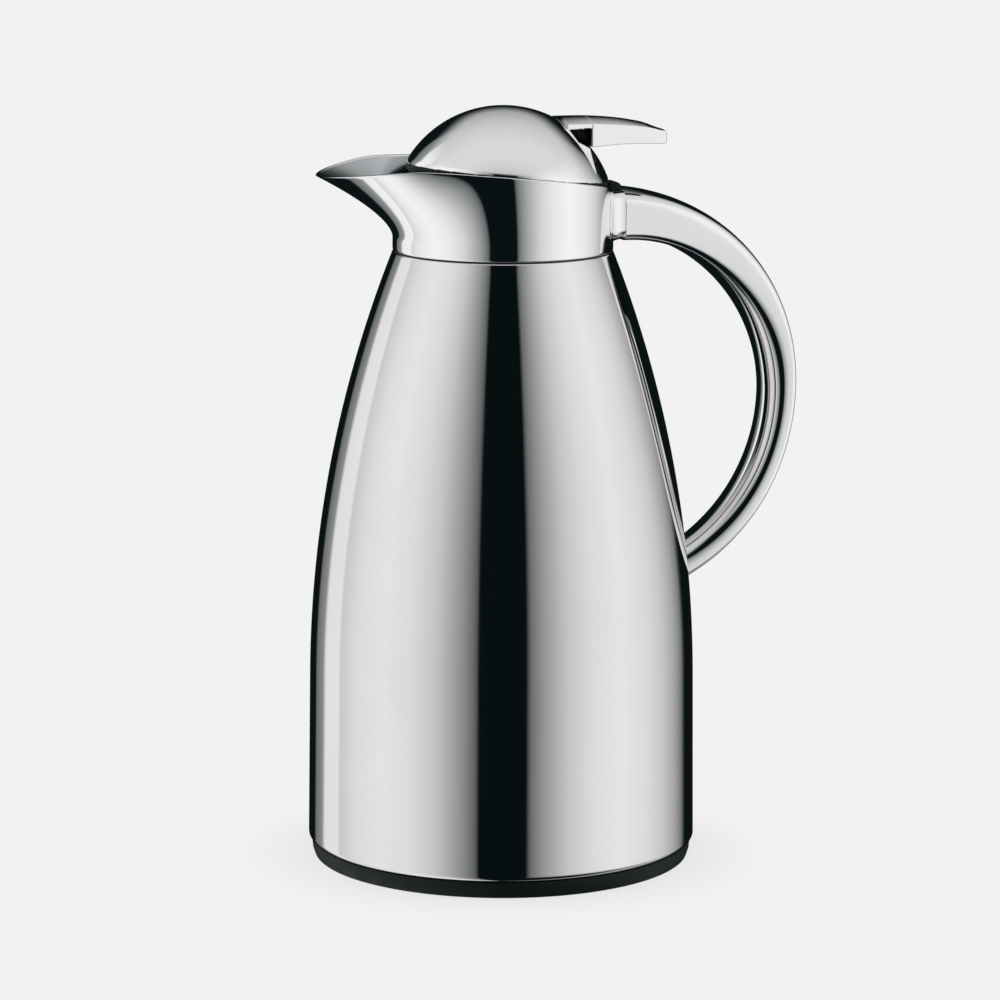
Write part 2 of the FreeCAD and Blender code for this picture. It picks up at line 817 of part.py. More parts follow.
def spring_slot_corners():
    """Slot in the boss for the spring's lower leg."""
    side = spring_half()
    room = spring_wire + close_fit
    x = hinge_x + spring_radius
    bottom = hinge_z - spring_radius - spring_collar_leg - room
    return (x - room, -side - room, bottom), (x + room, -side + room, hinge_z)


def return_spring():
    """Torsion coil round the pin, one leg down into the boss and one forward over the lid's plate."""
    side = spring_half()
    eighths = round(8 * spring_turns)
    pitch = 2 * side / spring_turns
    points = []
    for i in range(eighths + 1):
        turn = i / 8
        x = hinge_x + spring_radius * math.cos(2 * math.pi * turn)
        z = hinge_z + spring_radius * math.sin(2 * math.pi * turn)
        points.append(vec(x, -side + pitch * turn, z))
    foot = points[0].sub(vec(0, 0, spring_radius + spring_collar_leg))
    path = [Part.makeLine(foot, points[0])]
    for i in range(0, eighths, 2):
        path.append(Part.Arc(*points[i:i + 3]).toShape())
    path.append(Part.makeLine(points[-1], points[-1].sub(vec(spring_lid_leg, 0, 0))))
    section = Part.Wire([Part.makeCircle(spring_wire, foot, vec(0, 0, 1))])
    print("gap between the spring's turns", round(pitch - 2 * spring_wire, 2))
    return Part.Wire(path).makePipeShell([section], True, False).Solids[0]


def dome_contour(inset):
    """Steps of the dome's wall from its rolled edge up to its top, in the lid's own axis."""
    roll = (roll_radius, roll_height)
    lean = math.degrees(math.atan2(roll_height, roll_radius))
    return [
        (roll_radius, plate_height + inset),
        bend(roll, dome_roll - inset, -90, lean),
        bend((0, 0), dome_radius - inset, lean, 90),
    ]


def lever_slot():
    """Opening in the dome for the lever's tang."""
    half = tang_width / 2 + loose_fit
    low, high = tang_heights()
    return block((0, -half, low - loose_fit), (lever_tip, half, high + loose_fit))


def tang_heights():
    low = lever_z + tang_thickness / 4
    return low, low + tang_thickness


def lid_dome():
    outside = dome_contour(0)
    inside = dome_contour(dome_wall)
    back = [inside[2][1], (inside[2][0], inside[1][1]), (inside[1][0], inside[0])]
    dome = tilted(turned(*outside, *back))
    dome = dome.cut(across_hinge(knuckle_radius + loose_fit, -lug_outer - loose_fit, lug_outer + loose_fit))
    top = hinge_z + knuckle_radius + spring_wire
    low = (0, -knuckle_outer - loose_fit, hinge_z - arm_height)
    dome = dome.cut(block(low, (hinge_x, knuckle_outer + loose_fit, top)))
    return one_solid(dome.cut(lever_slot()))


def lever_post_place():
    return lever_root - lever_setback + post_length / 2


def lever_screw_places():
    half = lever_screw_spacing / 2
    return [(lever_post_place(), y) for y in (-half, half)]


def plate_underside(x):
    """Height of the plate's tilted underside at a distance from the axis."""
    return dome_z + plate_height / math.cos(tilt) - x * math.tan(tilt)


def lid_plate():
    """Black plate that closes the dome, with the hinge arms, the lever's post and the stopper's spigot."""
    edge = roll_radius - loose_fit
    step = plate_height + plate_step
    top = plate_height + plate_thickness
    plate = tilted(turned(
        (0, plate_height),
        (edge, plate_height),
        (edge, step),
        (roll_radius + plate_snap, step),
        (roll_radius + plate_snap, top),
        (0, top),
    ))
    arm_low = (hinge_x - arm_reach, spring_room / 2, hinge_z - arm_height / 2)
    arm = block(arm_low, (hinge_x, knuckle_outer, hinge_z + arm_height / 2))
    arm = arm.fuse(across_hinge(knuckle_radius, spring_room / 2, knuckle_outer))
    plate = plate.fuse(both_sides(arm))
    post_x = lever_post_place()
    post_top = tang_heights()[0]
    half = tang_width / 2
    post_low = (post_x - post_length / 2, -half, plate_underside(post_x) + plate_thickness / 2)
    plate = plate.fuse(block(post_low, (post_x + post_length / 2, half, post_top)))
    spigot_z = stopper_top() - spigot_fit_depth
    spigot = stopper_bore() - close_fit
    spigot_top = plate_underside(spigot) + plate_thickness / 2
    plate = plate.fuse(rod(spigot, vec(0, 0, spigot_z), vec(0, 0, spigot_top)))
    for x, y in lever_screw_places():
        seat = vec(x, y, lever_screw_seat())
        plate = plate.cut(rod(lever_screw_radius + close_fit, seat, vec(x, y, post_top + overrun)))
        plate = plate.cut(rod(lever_screw_head + close_fit, vec(x, y, stopper_top()), seat))
    plate = plate.cut(across_hinge(pin_radius + running_fit, -lug_outer, lug_outer))
    return one_solid(plate)


def lever_screw_seat():
    return plate_underside(lever_post_place()) + lever_screw_head_height


def stopper_bore():
    return stopper_radius - stopper_wall


def stopper_top():
    return flange_z + stopper_flange_thickness + stopper_neck


def stopper():
    """Tapered plug with a flange that backs its seal, open at the top for the foam."""
    bottom = flange_z - stopper_length
    nose = stopper_radius - stopper_taper
    inner_bottom = bottom + stopper_wall
    flange_top = flange_z + stopper_flange_thickness
    flange_edge = stopper_radius + stopper_flange
    return turned(
        (0, bottom),
        (nose - stopper_nose, bottom),
        bend((nose - stopper_nose, bottom + stopper_nose), stopper_nose, -90, 0),
        (stopper_radius, flange_z - seal_depth),
        (stopper_radius, flange_z),
        (flange_edge, flange_z),
        (flange_edge, flange_top),
        (stopper_radius, flange_top + stopper_neck_slope),
        (stopper_radius, stopper_top()),
        (stopper_bore(), stopper_top()),
        (stopper_bore(), flange_z - seal_depth),
        (nose - stopper_wall, inner_bottom),
        (0, inner_bottom),
    )


def stopper_seal():
    """Soft wedge ring under the stopper's flange, just clear of the insert's cone when closed."""
    slope = seat_width / seat_height
    bottom = flange_z - seal_depth
    inside = stopper_radius + close_fit
    outside = insert_bore + slope * (flange_z - seat_z) - seal_gap
    foot = insert_bore + slope * (bottom - seat_z) - seal_gap
    return turned(
        (inside, bottom),
        (foot, bottom),
        (outside, flange_z),
        (inside, flange_z),
    )


def stopper_foam():
    bottom = flange_z - stopper_length + stopper_wall + foam_gap
    top = stopper_top() - spigot_fit_depth - foam_gap
    nose = stopper_radius - stopper_taper - stopper_wall - foam_gap
    straight = flange_z - seal_depth
    radius = stopper_bore() - foam_gap
    return turned((0, bottom), (nose, bottom), (radius, straight), (radius, top), (0, top))


def lever_section(share, height_share, crown_share, arch_share):
    """Flat underside, upright sides and a crowned top."""
    x = lever_root + (lever_tip - lever_root) * share
    half = (lever_root_width + (lever_width - lever_root_width) * share) / 2
    low = lever_z + lever_arch * arch_share
    edge = lever_z + lever_height * height_share
    corners = [vec(x, -half, edge), vec(x, -half, low), vec(x, half, low), vec(x, half, edge)]
    edges = [Part.makeLine(a, b) for a, b in zip(corners, corners[1:])]
    edges.append(Part.Arc(corners[3], vec(x, 0, edge + lever_crown * crown_share), corners[0]).toShape())
    return Part.Wire(edges)


def lever_form():
    """The lever's outer form, with the tip's upright edges rounded."""
    table = zip(lever_place_shares, lever_height_shares, lever_crown_shares, lever_arch_shares)
    form = Part.makeLoft([lever_section(*row) for row in table], True, False)
    end = [edge for edge in form.Edges if edge.BoundBox.XMin > lever_tip - lever_corner]
    upright = [edge for edge in end if edge.BoundBox.ZLength > edge.BoundBox.YLength]
    return form.makeFillet(lever_corner, upright)


def thumb_lever():
    """Crowned lever that sits on the dome, hollow below, with a tang through the dome's wall."""
    lever = lever_form()
    low, high = tang_heights()
    half = tang_width / 2
    lever = lever.cut(Part.makeSphere(dome_radius + close_fit, vec(0, 0, dome_z)))
    plate_z = lever_z + lever_height - lever_plate
    notch = block((0, half, dome_z), (cheek_x, lever_root_width, plate_z))
    lever = lever.cut(both_sides(notch))
    pocket_half = lever_width / 2 - lever_pocket_wall
    pocket_top = lever_z + lever_height * lever_height_shares[-1] - lever_pocket_wall
    pocket_end = lever_tip - lever_pocket_wall
    pocket_low = (lever_root + lever_pocket_start, -pocket_half, dome_z)
    lever = lever.cut(block(pocket_low, (pocket_end, pocket_half, pocket_top)))
    tang_start = lever_post_place() - post_length / 2
    tang = block((tang_start, -half, low), (tang_start + tang_length, half, high))
    lever = lever.fuse(tang)
    for x, y in lever_screw_places():
        hole = rod(lever_screw_radius + close_fit, vec(x, y, low - overrun), vec(x, y, high + overrun))
        lever = lever.cut(hole)
    return one_solid(lever)


def lever_screws():
    screws = []
    seat = lever_screw_seat()
    top = tang_heights()[1]
    for x, y in lever_screw_places():
        head = rod(lever_screw_head, vec(x, y, seat - lever_screw_head_height), vec(x, y, seat))
        shank = rod(lever_screw_radius, vec(x, y, seat), vec(x, y, top))
        screws.append(head.fuse(shank).removeSplitter())
    return Part.makeCompound(screws)


pieces = {
    "body_shell": body_shell,
    "foot_ring": foot_ring,
    "base_cover": base_cover,
    "flask_cushion": flask_cushion,
    "flask_outer": flask_outer,
    "flask_inner": flask_inner,
    "mouth_seal": mouth_seal,
    "pour_insert": pour_insert,
    "neck_nut": neck_nut,
    "collar_gasket": collar_gasket,
    "collar": collar,
    "handle": handle,
    "root_screws": root_screws,
    "foot_screw": foot_screw,
    "foot_pad": foot_pad,
    "hinge_pin": hinge_pin,
    "return_spring": return_spring,
    "lid_dome": lid_dome,
    "lid_plate": lid_plate,
    "stopper": stopper,
    "stopper_seal": stopper_seal,
    "stopper_foam": stopper_foam,
    "thumb_lever": thumb_lever,
    "lever_screws": lever_screws,
}

os.makedirs("parts", exist_ok=True)
for name, make in pieces.items():
    shape = make()
    box = shape.BoundBox
    print(name, shape.ShapeType, len(shape.Solids), shape.isValid(), round(shape.Volume, 1),
          [round(v, 2) for v in (box.XMin, box.YMin, box.ZMin, box.XMax, box.YMax, box.ZMax)])
    shape.exportStep(os.path.join("parts", name + ".step"))
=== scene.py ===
import bpy
import bmesh
import math
from mathutils import Matrix, Vector


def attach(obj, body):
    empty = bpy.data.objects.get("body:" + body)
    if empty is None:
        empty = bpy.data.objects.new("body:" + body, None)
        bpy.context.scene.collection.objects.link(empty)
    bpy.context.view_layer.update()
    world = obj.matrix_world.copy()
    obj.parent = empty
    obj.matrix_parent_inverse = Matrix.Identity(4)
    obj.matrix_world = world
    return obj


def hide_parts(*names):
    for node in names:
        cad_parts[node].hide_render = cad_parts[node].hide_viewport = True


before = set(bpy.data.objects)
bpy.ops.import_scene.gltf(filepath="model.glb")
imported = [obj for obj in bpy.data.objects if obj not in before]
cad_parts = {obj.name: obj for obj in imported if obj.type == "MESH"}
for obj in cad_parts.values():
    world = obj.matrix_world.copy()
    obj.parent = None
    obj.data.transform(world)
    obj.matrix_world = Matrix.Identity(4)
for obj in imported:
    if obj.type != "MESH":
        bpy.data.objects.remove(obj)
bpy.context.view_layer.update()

MM = 0.001                     # metres in a millimetre

# Sizes are in millimetres and angles in degrees. Most names are those of the part's source

# Fits
LOOSE_FIT = 0.3
CLOSE_FIT = 0.1

# Body shell
BASE_HEIGHT = 6.0              # foot below the shell's seam
BODY_HEIGHT = 211.0            # shell, from the foot's seam to the neck's seam
BODY_RADIUS = 69.0
SHELL_TAPER = 0.65             # draw-in of the lower wall up to the shoulder
SHOULDER_HEIGHT = 60.0
NECK_RADIUS = 38.8
NECK_BORE = 32.4
SHELL_WALL = 0.8
FOOT_CURL = 2.2                # radius of the curl at the shell's lower edge
FOOT_LIP = 1.2
SHELL_EDGE = 0.55              # height of the rounding at the shell's upper edge
SHELL_EDGE_POINTS = ((0.10, 0.25), (0.30, 0.08), (0.6, 0.0))    # inward, and down from the top
BODY_TOP = BASE_HEIGHT + BODY_HEIGHT
SHOULDER_Z = BASE_HEIGHT + SHOULDER_HEIGHT

# Foot ring
FOOT_INSET = 1.1               # step from the shell in to the foot ring
FOOT_TAPER = 1.2
FOOT_BULGE_SHARE = 0.72
FOOT_BULGE_HEIGHT_SHARE = 0.45
FOOT_SEAM = 0.02               # gap under the shell's edge
RING_WIDTH = 11.0
SPIGOT_HEIGHT = 8.0
SPIGOT_WALL = 2.4
STOP_WIDTH = 3.0
STOP_THICKNESS = 2.0
COVER_TOP = 7.8

# Collar and spout
COLLAR_SEAL = 0.5
COLLAR_WALL = 1.6
COLLAR_LIP = 1.8
SPOUT_START = 4.5              # where the spout leaves the collar, above its lower edge
SPOUT_HEIGHT = 23.1            # from there up to the tip
SPOUT_REACH = 29.0             # tip beyond the collar's wall
SPOUT_CURVE = 1.53             # power of the underside's sweep
SPOUT_SPREAD = 31.8            # degrees round the axis over which the spout fades
SPOUT_SHARPNESS = 1.64         # power of that fading
SIDE_FLARE = 1.8               # widening of the rim at the collar's sides
RIM_CREST = 30.0               # rise at which that widening is counted
# The rim's line seen from the side: places along X, and the rise above the collar's lower edge
RIM_X = (-70.0, -62.0, -55.0, -47.0, -40.0, -31.0, -20.0, -5.0, 12.0, 30.0, 45.0)
RIM_RISE = (27.3, 28.4, 29.35, 30.4, 30.95, 30.75, 30.05, 28.85, 26.85, 23.75, 20.1)
RIM_FIRST_GUESS = 28.0         # start of the search for the rim's height
RIM_SEARCH_STEPS = 25
RIM_EDGE = 0.4                 # height of the rounding along the rim
RIM_OUTER = ((0.6, 0.05), (0.88, 0.15), (1.0, 0.32))            # share of that height, and inset
RIM_INNER = ((1.0, 1.28), (0.88, 1.45), (0.6, 1.55))
LOWER_EDGE = ((0.0, 1.1), (0.0, 0.5), (0.12, 0.15))             # rise and inset
LOWER_EDGE_HEIGHT = 0.4
RING_CROWDING = 0.5            # how strongly the collar's points gather at the spout
COLLAR_Z = BODY_TOP + COLLAR_SEAL

# Handle and the collar's boss
ROOT_STANDOFF = 2.2            # joint face beyond the collar's wall
HANDLE_DROP = 53.7
HANDLE_SETOUT = 5.8
HANDLE_INNER = 65.7
HANDLE_OUTER = 75.18           # a hair inside the solid
HANDLE_CROWN = 1.9
ROOT_THICKENING = 8.2
ROOT_POWER = 1.6
ROOT_ANGLE = 80.0
CROWN_START = -20.0
CROWN_SPAN = 115.0
HANDLE_WIDTH = 20.5
ROOT_WIDTH = 27.0
FOOT_WIDTH = 19.0
FOOT_ANGLE = -62.0
STRAP_EDGE = 4.5               # rounding of the outer edges at the collar
GRIP_EDGE = 1.8                # the same along the grip
OUTER_SAG_SHARE = 0.09
INNER_EDGE = 3.2
BELLY = 2.0                    # extra depth of the rounded finger side along the grip
BELLY_RIM = 1.5
BELLY_WIDTH_SHARE = 0.85
BELLY_START = 62.0
BELLY_FULL = 5.0
ROOT_SEARCH = (96.0, 60.0)     # angles inside the collar and clear of it
FOOT_SEARCH = (-80.0, -40.0)   # angles inside the shell and clear of it
SEARCH_STEPS = 40
JOINT_GAP = 0.06               # between the strap's ends and what they meet
BOSS_FLARE = 4.0               # spread of the boss where it leaves the wall
BOSS_FLARE_POWER = 2.2
BOSS_DEPTH = 8.0
BOSS_EDGE_LIMIT = 0.42         # of the boss's height
BOSS_LOWER_GAP = 0.15          # above the collar's lower edge, at least
BOSS_UPPER_GAP = 0.1           # below the hinge's axis, at least
ROOT_X = NECK_RADIUS + ROOT_STANDOFF
HANDLE_X = NECK_RADIUS - HANDLE_SETOUT
HANDLE_Z = COLLAR_Z - HANDLE_DROP

# Hinge and spring
KNUCKLE_RADIUS = 2.9
KNUCKLE_WIDTH = 2.9
HINGE_GAP = 0.15
HINGE_RISE = 20.7
SPRING_ROOM = 6.8
LUG_WIDTH = 3.1
LUG_BEVEL = 0.3
SPRING_WIRE = 0.35
SPRING_RADIUS = 2.0
SPRING_TURNS = 4.25
SPRING_HALF_WIDTH = 2.75
SPRING_LID_LEG = 9.0
SPRING_COLLAR_LEG = 7.0
HINGE_X = ROOT_X - HINGE_GAP - KNUCKLE_RADIUS
HINGE_Z = COLLAR_Z + HINGE_RISE

# Dome
DOME_Z = 228.494               # centre of the dome's sphere
DOME_OVERHANG = 0.6
DOME_INSET = 3.3
DOME_WALL = 1.0
DOME_ROLL = 5.0                # radius of the edge that rolls under
LID_TILT = 5.5
RELIEF_RADIUS = 3.2            # room round the hinge
RELIEF_HALF_WIDTH = 10.8
PAINTED_SHADE_DROP = 0.1            # top of the dome's painted shade, under the line of the collar's rim
PAINTED_SHADE_START = 12.0          # from here back it ends higher
PAINTED_SHADE_SLOPE = 0.05
DOME_RADIUS = NECK_RADIUS + DOME_OVERHANG
DOME_EDGE = NECK_RADIUS - DOME_INSET

# Lever
LEVER_Z = 253.198              # underside
LEVER_START = 20.015           # first section
LEVER_REACH = 19.8             # tip beyond the collar's wall
LEVER_WIDTH = 12.0
LEVER_ROOT_WIDTH = 24.0
LEVER_HEIGHT = 8.6
LEVER_CROWN = 1.9
LEVER_ARCH = 0.8
LEVER_PLACES = (0.0, 0.28, 0.55, 0.8, 1.0)
LEVER_HEIGHT_SHARES = (1.0, 0.98, 0.89, 0.76, 0.56)
LEVER_CROWN_SHARES = (1.0, 1.04, 1.0, 0.68, 0.2)
LEVER_ARCH_SHARES = (0.0, 0.45, 1.0, 0.8, 0.3)
LEVER_PLATE = 1.8              # top over the narrow neck
NECK_HALF_WIDTH = 6.5
CHEEK_INSET = 9.6              # start of the side walls, inside the collar's wall
CHEEK_EDGE = 0.4
POCKET_WALL = 1.8
POCKET_START = 35.0
POCKET_HEIGHT = 3.0
TOP_EDGE = 0.35
TOP_EDGE_TURN = 72.0           # degrees that the top's edges turn through
TOP_EDGE_SHARE = 0.7           # of that edge, where the crowned top begins
UNDER_EDGE = 0.3
TIP_EDGE = 0.8                 # rounding of the tip, along the lever
TIP_SHRINK = 0.7               # and across it
FACING_DOWN = -0.8             # normals below this belong to the underside
NECK_END_SLACK = 0.02          # faces up to this far past the neck belong to it
NECK_TOP_SLACK = 0.05          # and those nearer to the top plate than this don't
LEVER_TIP = NECK_RADIUS + LEVER_REACH
CHEEK_X = NECK_RADIUS - CHEEK_INSET
PLATE_Z = LEVER_Z + LEVER_HEIGHT - LEVER_PLATE

# Stopper and its seat
FLASK_BORE = 21.0
INSERT_WALL = 1.8
INSERT_BORE_STEP = 1.0
SEAT_WIDTH = 6.5
SEAT_HEIGHT = 5.4
SEAT_Z = 218.0                 # lower edge of the seat's cone
INSERT_EDGE_RISE = 1.3
SKIRT_DEPTH = 10.0
STOPPER_GAP = 3.4
STOPPER_Z = 222.7              # underside of the flange
STOPPER_LENGTH = 16.2
STOPPER_TAPER = 2.6
STOPPER_NOSE = 1.6
STOPPER_WALL = 1.8
STOPPER_FLANGE = 7.9
STOPPER_FLANGE_THICKNESS = 2.0
STOPPER_NECK = 11.0
STOPPER_NECK_SLOPE = 2.0
SEAL_DEPTH = 4.2
SEAL_LOWER_RADIUS = 22.1
SEAL_UPPER_RADIUS = 27.15
STOPPER_RADIUS = FLASK_BORE - STOPPER_GAP
SEAL_Z = STOPPER_Z - SEAL_DEPTH


# Mesh building

MERGE = 1e-5                   # points closer than this are one
TINY = 1e-6                    # a smaller radius is a point on the axis
CORNER_SHARE = 0.45            # of a side, at most, goes into the rounding at its end
BEVEL_SHARE = 0.3              # of a bevel, for the point in the middle of its curve
FINE = 256                     # segments round the large turned pieces


def finish_mesh(name, shape, body, material, nodes=(), *, sharp):
    """A smooth shaded piece from a bmesh in millimetres, set on its body.

    Edges that turn by more than the sharp angle, in degrees, stay hard.
    """
    bmesh.ops.remove_doubles(shape, verts=shape.verts, dist=MERGE)
    bmesh.ops.recalc_face_normals(shape, faces=shape.faces)
    bmesh.ops.scale(shape, vec=(MM, MM, MM), verts=shape.verts)
    mesh = bpy.data.meshes.new(name)
    shape.to_mesh(mesh)
    shape.free()
    for face in mesh.polygons:
        face.use_smooth = True
    mesh.set_sharp_from_angle(angle=math.radians(sharp))
    piece = bpy.data.objects.new(name, mesh)
    bpy.context.scene.collection.objects.link(piece)
    piece.data.materials.append(material)
    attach(piece, body)
    if nodes:
        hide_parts(*nodes)
    return piece


def spaced(start, end, steps):
    """Evenly spaced values from start to end."""
    return [start + (end - start) * i / steps for i in range(steps + 1)]


def full_turn(count):
    """Angles once round, in radians."""
    return [2 * math.pi * i / count for i in range(count)]


def smooth(share):
    """Smooth step from 0 to 1."""
    share = min(max(share, 0), 1)
    return share ** 2 * (3 - 2 * share)


def read_table(shares, values, at):
    """Smooth reading between the rows of a table."""
    rows = len(shares) - 1
    i = next((i for i in range(rows) if at <= shares[i + 1]), rows - 1)
    t = (at - shares[i]) / (shares[i + 1] - shares[i])
    a, b = values[i], values[i + 1]
    before = values[max(i - 1, 0)]
    after = values[min(i + 2, rows)]
    return 0.5 * (2 * a + (b - before) * t + (2 * before - 5 * a + 4 * b - after) * t ** 2
                  + (3 * a - before - 3 * b + after) * t ** 3)


def arc(centre, radius, start, end, steps):
    """Points on a circle, by degrees."""
    turns = [math.radians(turn) for turn in spaced(start, end, steps)]
    return [(centre[0] + radius * math.cos(t), centre[1] + radius * math.sin(t)) for t in turns]


def soften(corners, steps=5):
    """Corners (r, z, rounding) of a closed outline to points, with each corner rounded."""
    points = []
    count = len(corners)
    for i, (r, z, rounding) in enumerate(corners):
        if rounding <= 0:
            points.append((r, z))
            continue
        here = Vector((r, z))
        before = Vector(corners[i - 1][:2]) - here
        after = Vector(corners[(i + 1) % count][:2]) - here
        half = before.angle(after) / 2
        longest = CORNER_SHARE * min(before.length, after.length)
        reach = min(rounding / math.tan(half), longest)
        first = here + before.normalized() * reach
        last = here + after.normalized() * reach
        for t in spaced(0, 1, steps):
            p = first * (1 - t) ** 2 + here * 2 * t * (1 - t) + last * t ** 2
            points.append((p.x, p.y))
    return points


def add_rings(shape, rows, closed=False):
    """Quads between rings of points. closed joins the last ring to the first."""
    made = [[shape.verts.new(p) for p in row] for row in rows]
    count = len(made[0])
    pairs = list(zip(made, made[1:]))
    if closed:
        pairs.append((made[-1], made[0]))
    for a, b in pairs:
        for i in range(count):
            j = (i + 1) % count
            shape.faces.new((a[i], a[j], b[j], b[i]))
    return made


def cap(shape, ring):
    """Closes a ring of vertices with a fan about its middle."""
    middle = sum((v.co for v in ring), Vector()) / len(ring)
    hub = shape.verts.new(middle)
    for i, v in enumerate(ring):
        shape.faces.new((v, ring[(i + 1) % len(ring)], hub))


def add_bar(shape, rows):
    """Rings of points joined into a bar with capped ends."""
    made = add_rings(shape, rows)
    cap(shape, made[0])
    cap(shape, made[-1])


def add_turned(shape, outline, segments=192):
    """A closed outline of (r, z) points turned about Z."""
    rings = []
    for r, z in outline:
        if r < TINY:
            rings.append([shape.verts.new((0, 0, z))])
        else:
            turns = full_turn(segments)
            rings.append([shape.verts.new((r * math.cos(t), r * math.sin(t), z)) for t in turns])
    for a, b in zip(rings, rings[1:] + rings[:1]):
        if len(a) == 1 and len(b) == 1:
            continue
        for i in range(segments):
            j = (i + 1) % segments
            corners = [a[i % len(a)], a[j % len(a)], b[j % len(b)], b[i % len(b)]]
            shape.faces.new(list(dict.fromkeys(corners)))


def add_rod(shape, radius, start, end, bevel, segments=40):
    """A round bar with softened ends."""
    start, end = Vector(start), Vector(end)
    axis = (end - start).normalized()
    side = axis.orthogonal().normalized()
    other = axis.cross(side)
    length = (end - start).length
    soft = BEVEL_SHARE * bevel
    near = [(0, radius - bevel), (soft, radius - soft), (bevel, radius)]
    far = [(length - place, r) for place, r in reversed(near)]
    rows = []
    for place, r in near + far:
        turns = full_turn(segments)
        rows.append([start + axis * place + (side * math.cos(t) + other * math.sin(t)) * r for t in turns])
    add_bar(shape, rows)


def add_wire(shape, path, radius, segments=12):
    """A round wire along a line of points, which doesn't start out along Y."""
    rows = []
    normal = Vector((0, -1, 0))
    for i, p in enumerate(path):
        along = (path[min(i + 1, len(path) - 1)] - path[max(i - 1, 0)]).normalized()
        normal = (normal - along * normal.dot(along)).normalized()
        other = along.cross(normal)
        turns = full_turn(segments)
        rows.append([p + (normal * math.cos(t) + other * math.sin(t)) * radius for t in turns])
    add_bar(shape, rows)


# Materials

NOISE_LOW = 0.3                # most noise values lie between these two
NOISE_HIGH = 0.7


def nodes_of(name):
    """A new material, its node tree and its shader."""
    material = bpy.data.materials.new(name)
    material.use_nodes = True
    tree = material.node_tree
    return material, tree, tree.nodes["Principled BSDF"]


def add_node(tree, kind, **inputs):
    """A new node with the values of its inputs, an underscore in a name standing for a space."""
    node = tree.nodes.new(kind)
    for key, value in inputs.items():
        node.inputs[key.replace("_", " ")].default_value = value
    return node


def noise(tree, scale, detail=3.0, stretch=(1, 1, 1)):
    """Noise fixed to the piece, in its own metres."""
    place = add_node(tree, "ShaderNodeTexCoord")
    mapping = add_node(tree, "ShaderNodeMapping", Scale=stretch)
    tree.links.new(place.outputs["Object"], mapping.inputs["Vector"])
    texture = add_node(tree, "ShaderNodeTexNoise", Scale=scale, Detail=detail)
    tree.links.new(mapping.outputs["Vector"], texture.inputs["Vector"])
    return texture.outputs["Fac"]


def spread(tree, source, low, high):
    """The noise's range mapped to low and high."""
    node = add_node(
        tree, "ShaderNodeMapRange", From_Min=NOISE_LOW, From_Max=NOISE_HIGH, To_Min=low, To_Max=high)
    tree.links.new(source, node.inputs["Value"])
    return node.outputs["Result"]


def tint(tree, source, dark, light):
    """A colour between two, by the noise."""
    node = add_node(tree, "ShaderNodeValToRGB")
    stops = ((NOISE_LOW, dark), (NOISE_HIGH, light))
    for element, (place, colour) in zip(node.color_ramp.elements, stops):
        element.position = place
        element.color = (*colour, 1)
    tree.links.new(source, node.inputs["Fac"])
    return node.outputs["Color"]


def relief(tree, shader, source, strength, depth):
    """Fine unevenness of the surface, depth in metres."""
    bump = add_node(tree, "ShaderNodeBump", Strength=strength, Distance=depth)
    tree.links.new(source, bump.inputs["Height"])
    tree.links.new(bump.outputs["Normal"], shader.inputs["Normal"])


def metal(name, dark, light, rough, marks, depth, stretch=(1, 1, 1)):
    """Polished metal: faint clouding of colour and gloss, and fine polishing marks."""
    material, tree, shader = nodes_of(name)
    shader.inputs["Metallic"].default_value = 1.0
    colour = tint(tree, noise(tree, scale=18.0), dark, light)
    gloss = spread(tree, noise(tree, scale=55.0, detail=4.0), *rough)
    tree.links.new(colour, shader.inputs["Base Color"])
    tree.links.new(gloss, shader.inputs["Roughness"])
    relief(tree, shader, noise(tree, marks, detail=2.0, stretch=stretch), strength=0.15, depth=depth)
    return material


def moulded(name, dark, light, rough, grain, depth, specular=0.5):
    """Moulded plastic or rubber: fine grain, slightly uneven colour and gloss."""
    material, tree, shader = nodes_of(name)
    shader.inputs["Specular IOR Level"].default_value = specular
    colour = tint(tree, noise(tree, scale=40.0), dark, light)
    gloss = spread(tree, noise(tree, scale=120.0), *rough)
    tree.links.new(colour, shader.inputs["Base Color"])
    tree.links.new(gloss, shader.inputs["Roughness"])
    relief(tree, shader, noise(tree, grain), strength=0.35, depth=depth)
    return material


STEEL = metal(
    "body_steel", dark=(0.748, 0.730, 0.738), light=(0.774, 0.755, 0.763), rough=(0.02, 0.045),
    marks=420.0, depth=2e-6, stretch=(1, 1, 0.15))
CHROME = metal(
    "bright_chrome", dark=(0.855, 0.853, 0.870), light=(0.885, 0.883, 0.900), rough=(0.012, 0.03),
    marks=300.0, depth=1e-6)
# Satin chrome for the collar's inside; its dimmer colour is painted shade
SHADED_INNER_CHROME = metal(
    "satin_chrome_with_painted_shade", dark=(0.46, 0.48, 0.49), light=(0.52, 0.54, 0.55), rough=(0.12, 0.2),
    marks=500.0, depth=2e-6)
PIN_STEEL = metal(
    "pin_steel", dark=(0.50, 0.50, 0.50), light=(0.60, 0.60, 0.60), rough=(0.18, 0.3),
    marks=900.0, depth=6e-6)
SPRING_STEEL = metal(
    "spring_steel", dark=(0.42, 0.42, 0.43), light=(0.52, 0.52, 0.52), rough=(0.16, 0.3),
    marks=1200.0, depth=5e-6)
SILVERED = metal(
    "silvered_glass", dark=(0.80, 0.80, 0.79), light=(0.84, 0.84, 0.82), rough=(0.03, 0.07),
    marks=60.0, depth=2e-5)
BLACK = moulded(
    "black_plastic", dark=(0.0010, 0.0070, 0.0064), light=(0.0016, 0.0086, 0.0080), rough=(0.45, 0.6),
    grain=2600.0, depth=2.5e-5, specular=0.2)
DARK_RUBBER = moulded(
    "dark_rubber", dark=(0.014, 0.014, 0.014), light=(0.022, 0.022, 0.021), rough=(0.6, 0.75),
    grain=1800.0, depth=4e-5, specular=0.35)
SILICONE = moulded(
    "silicone", dark=(0.50, 0.51, 0.50), light=(0.58, 0.59, 0.575), rough=(0.42, 0.55),
    grain=1500.0, depth=2e-5)
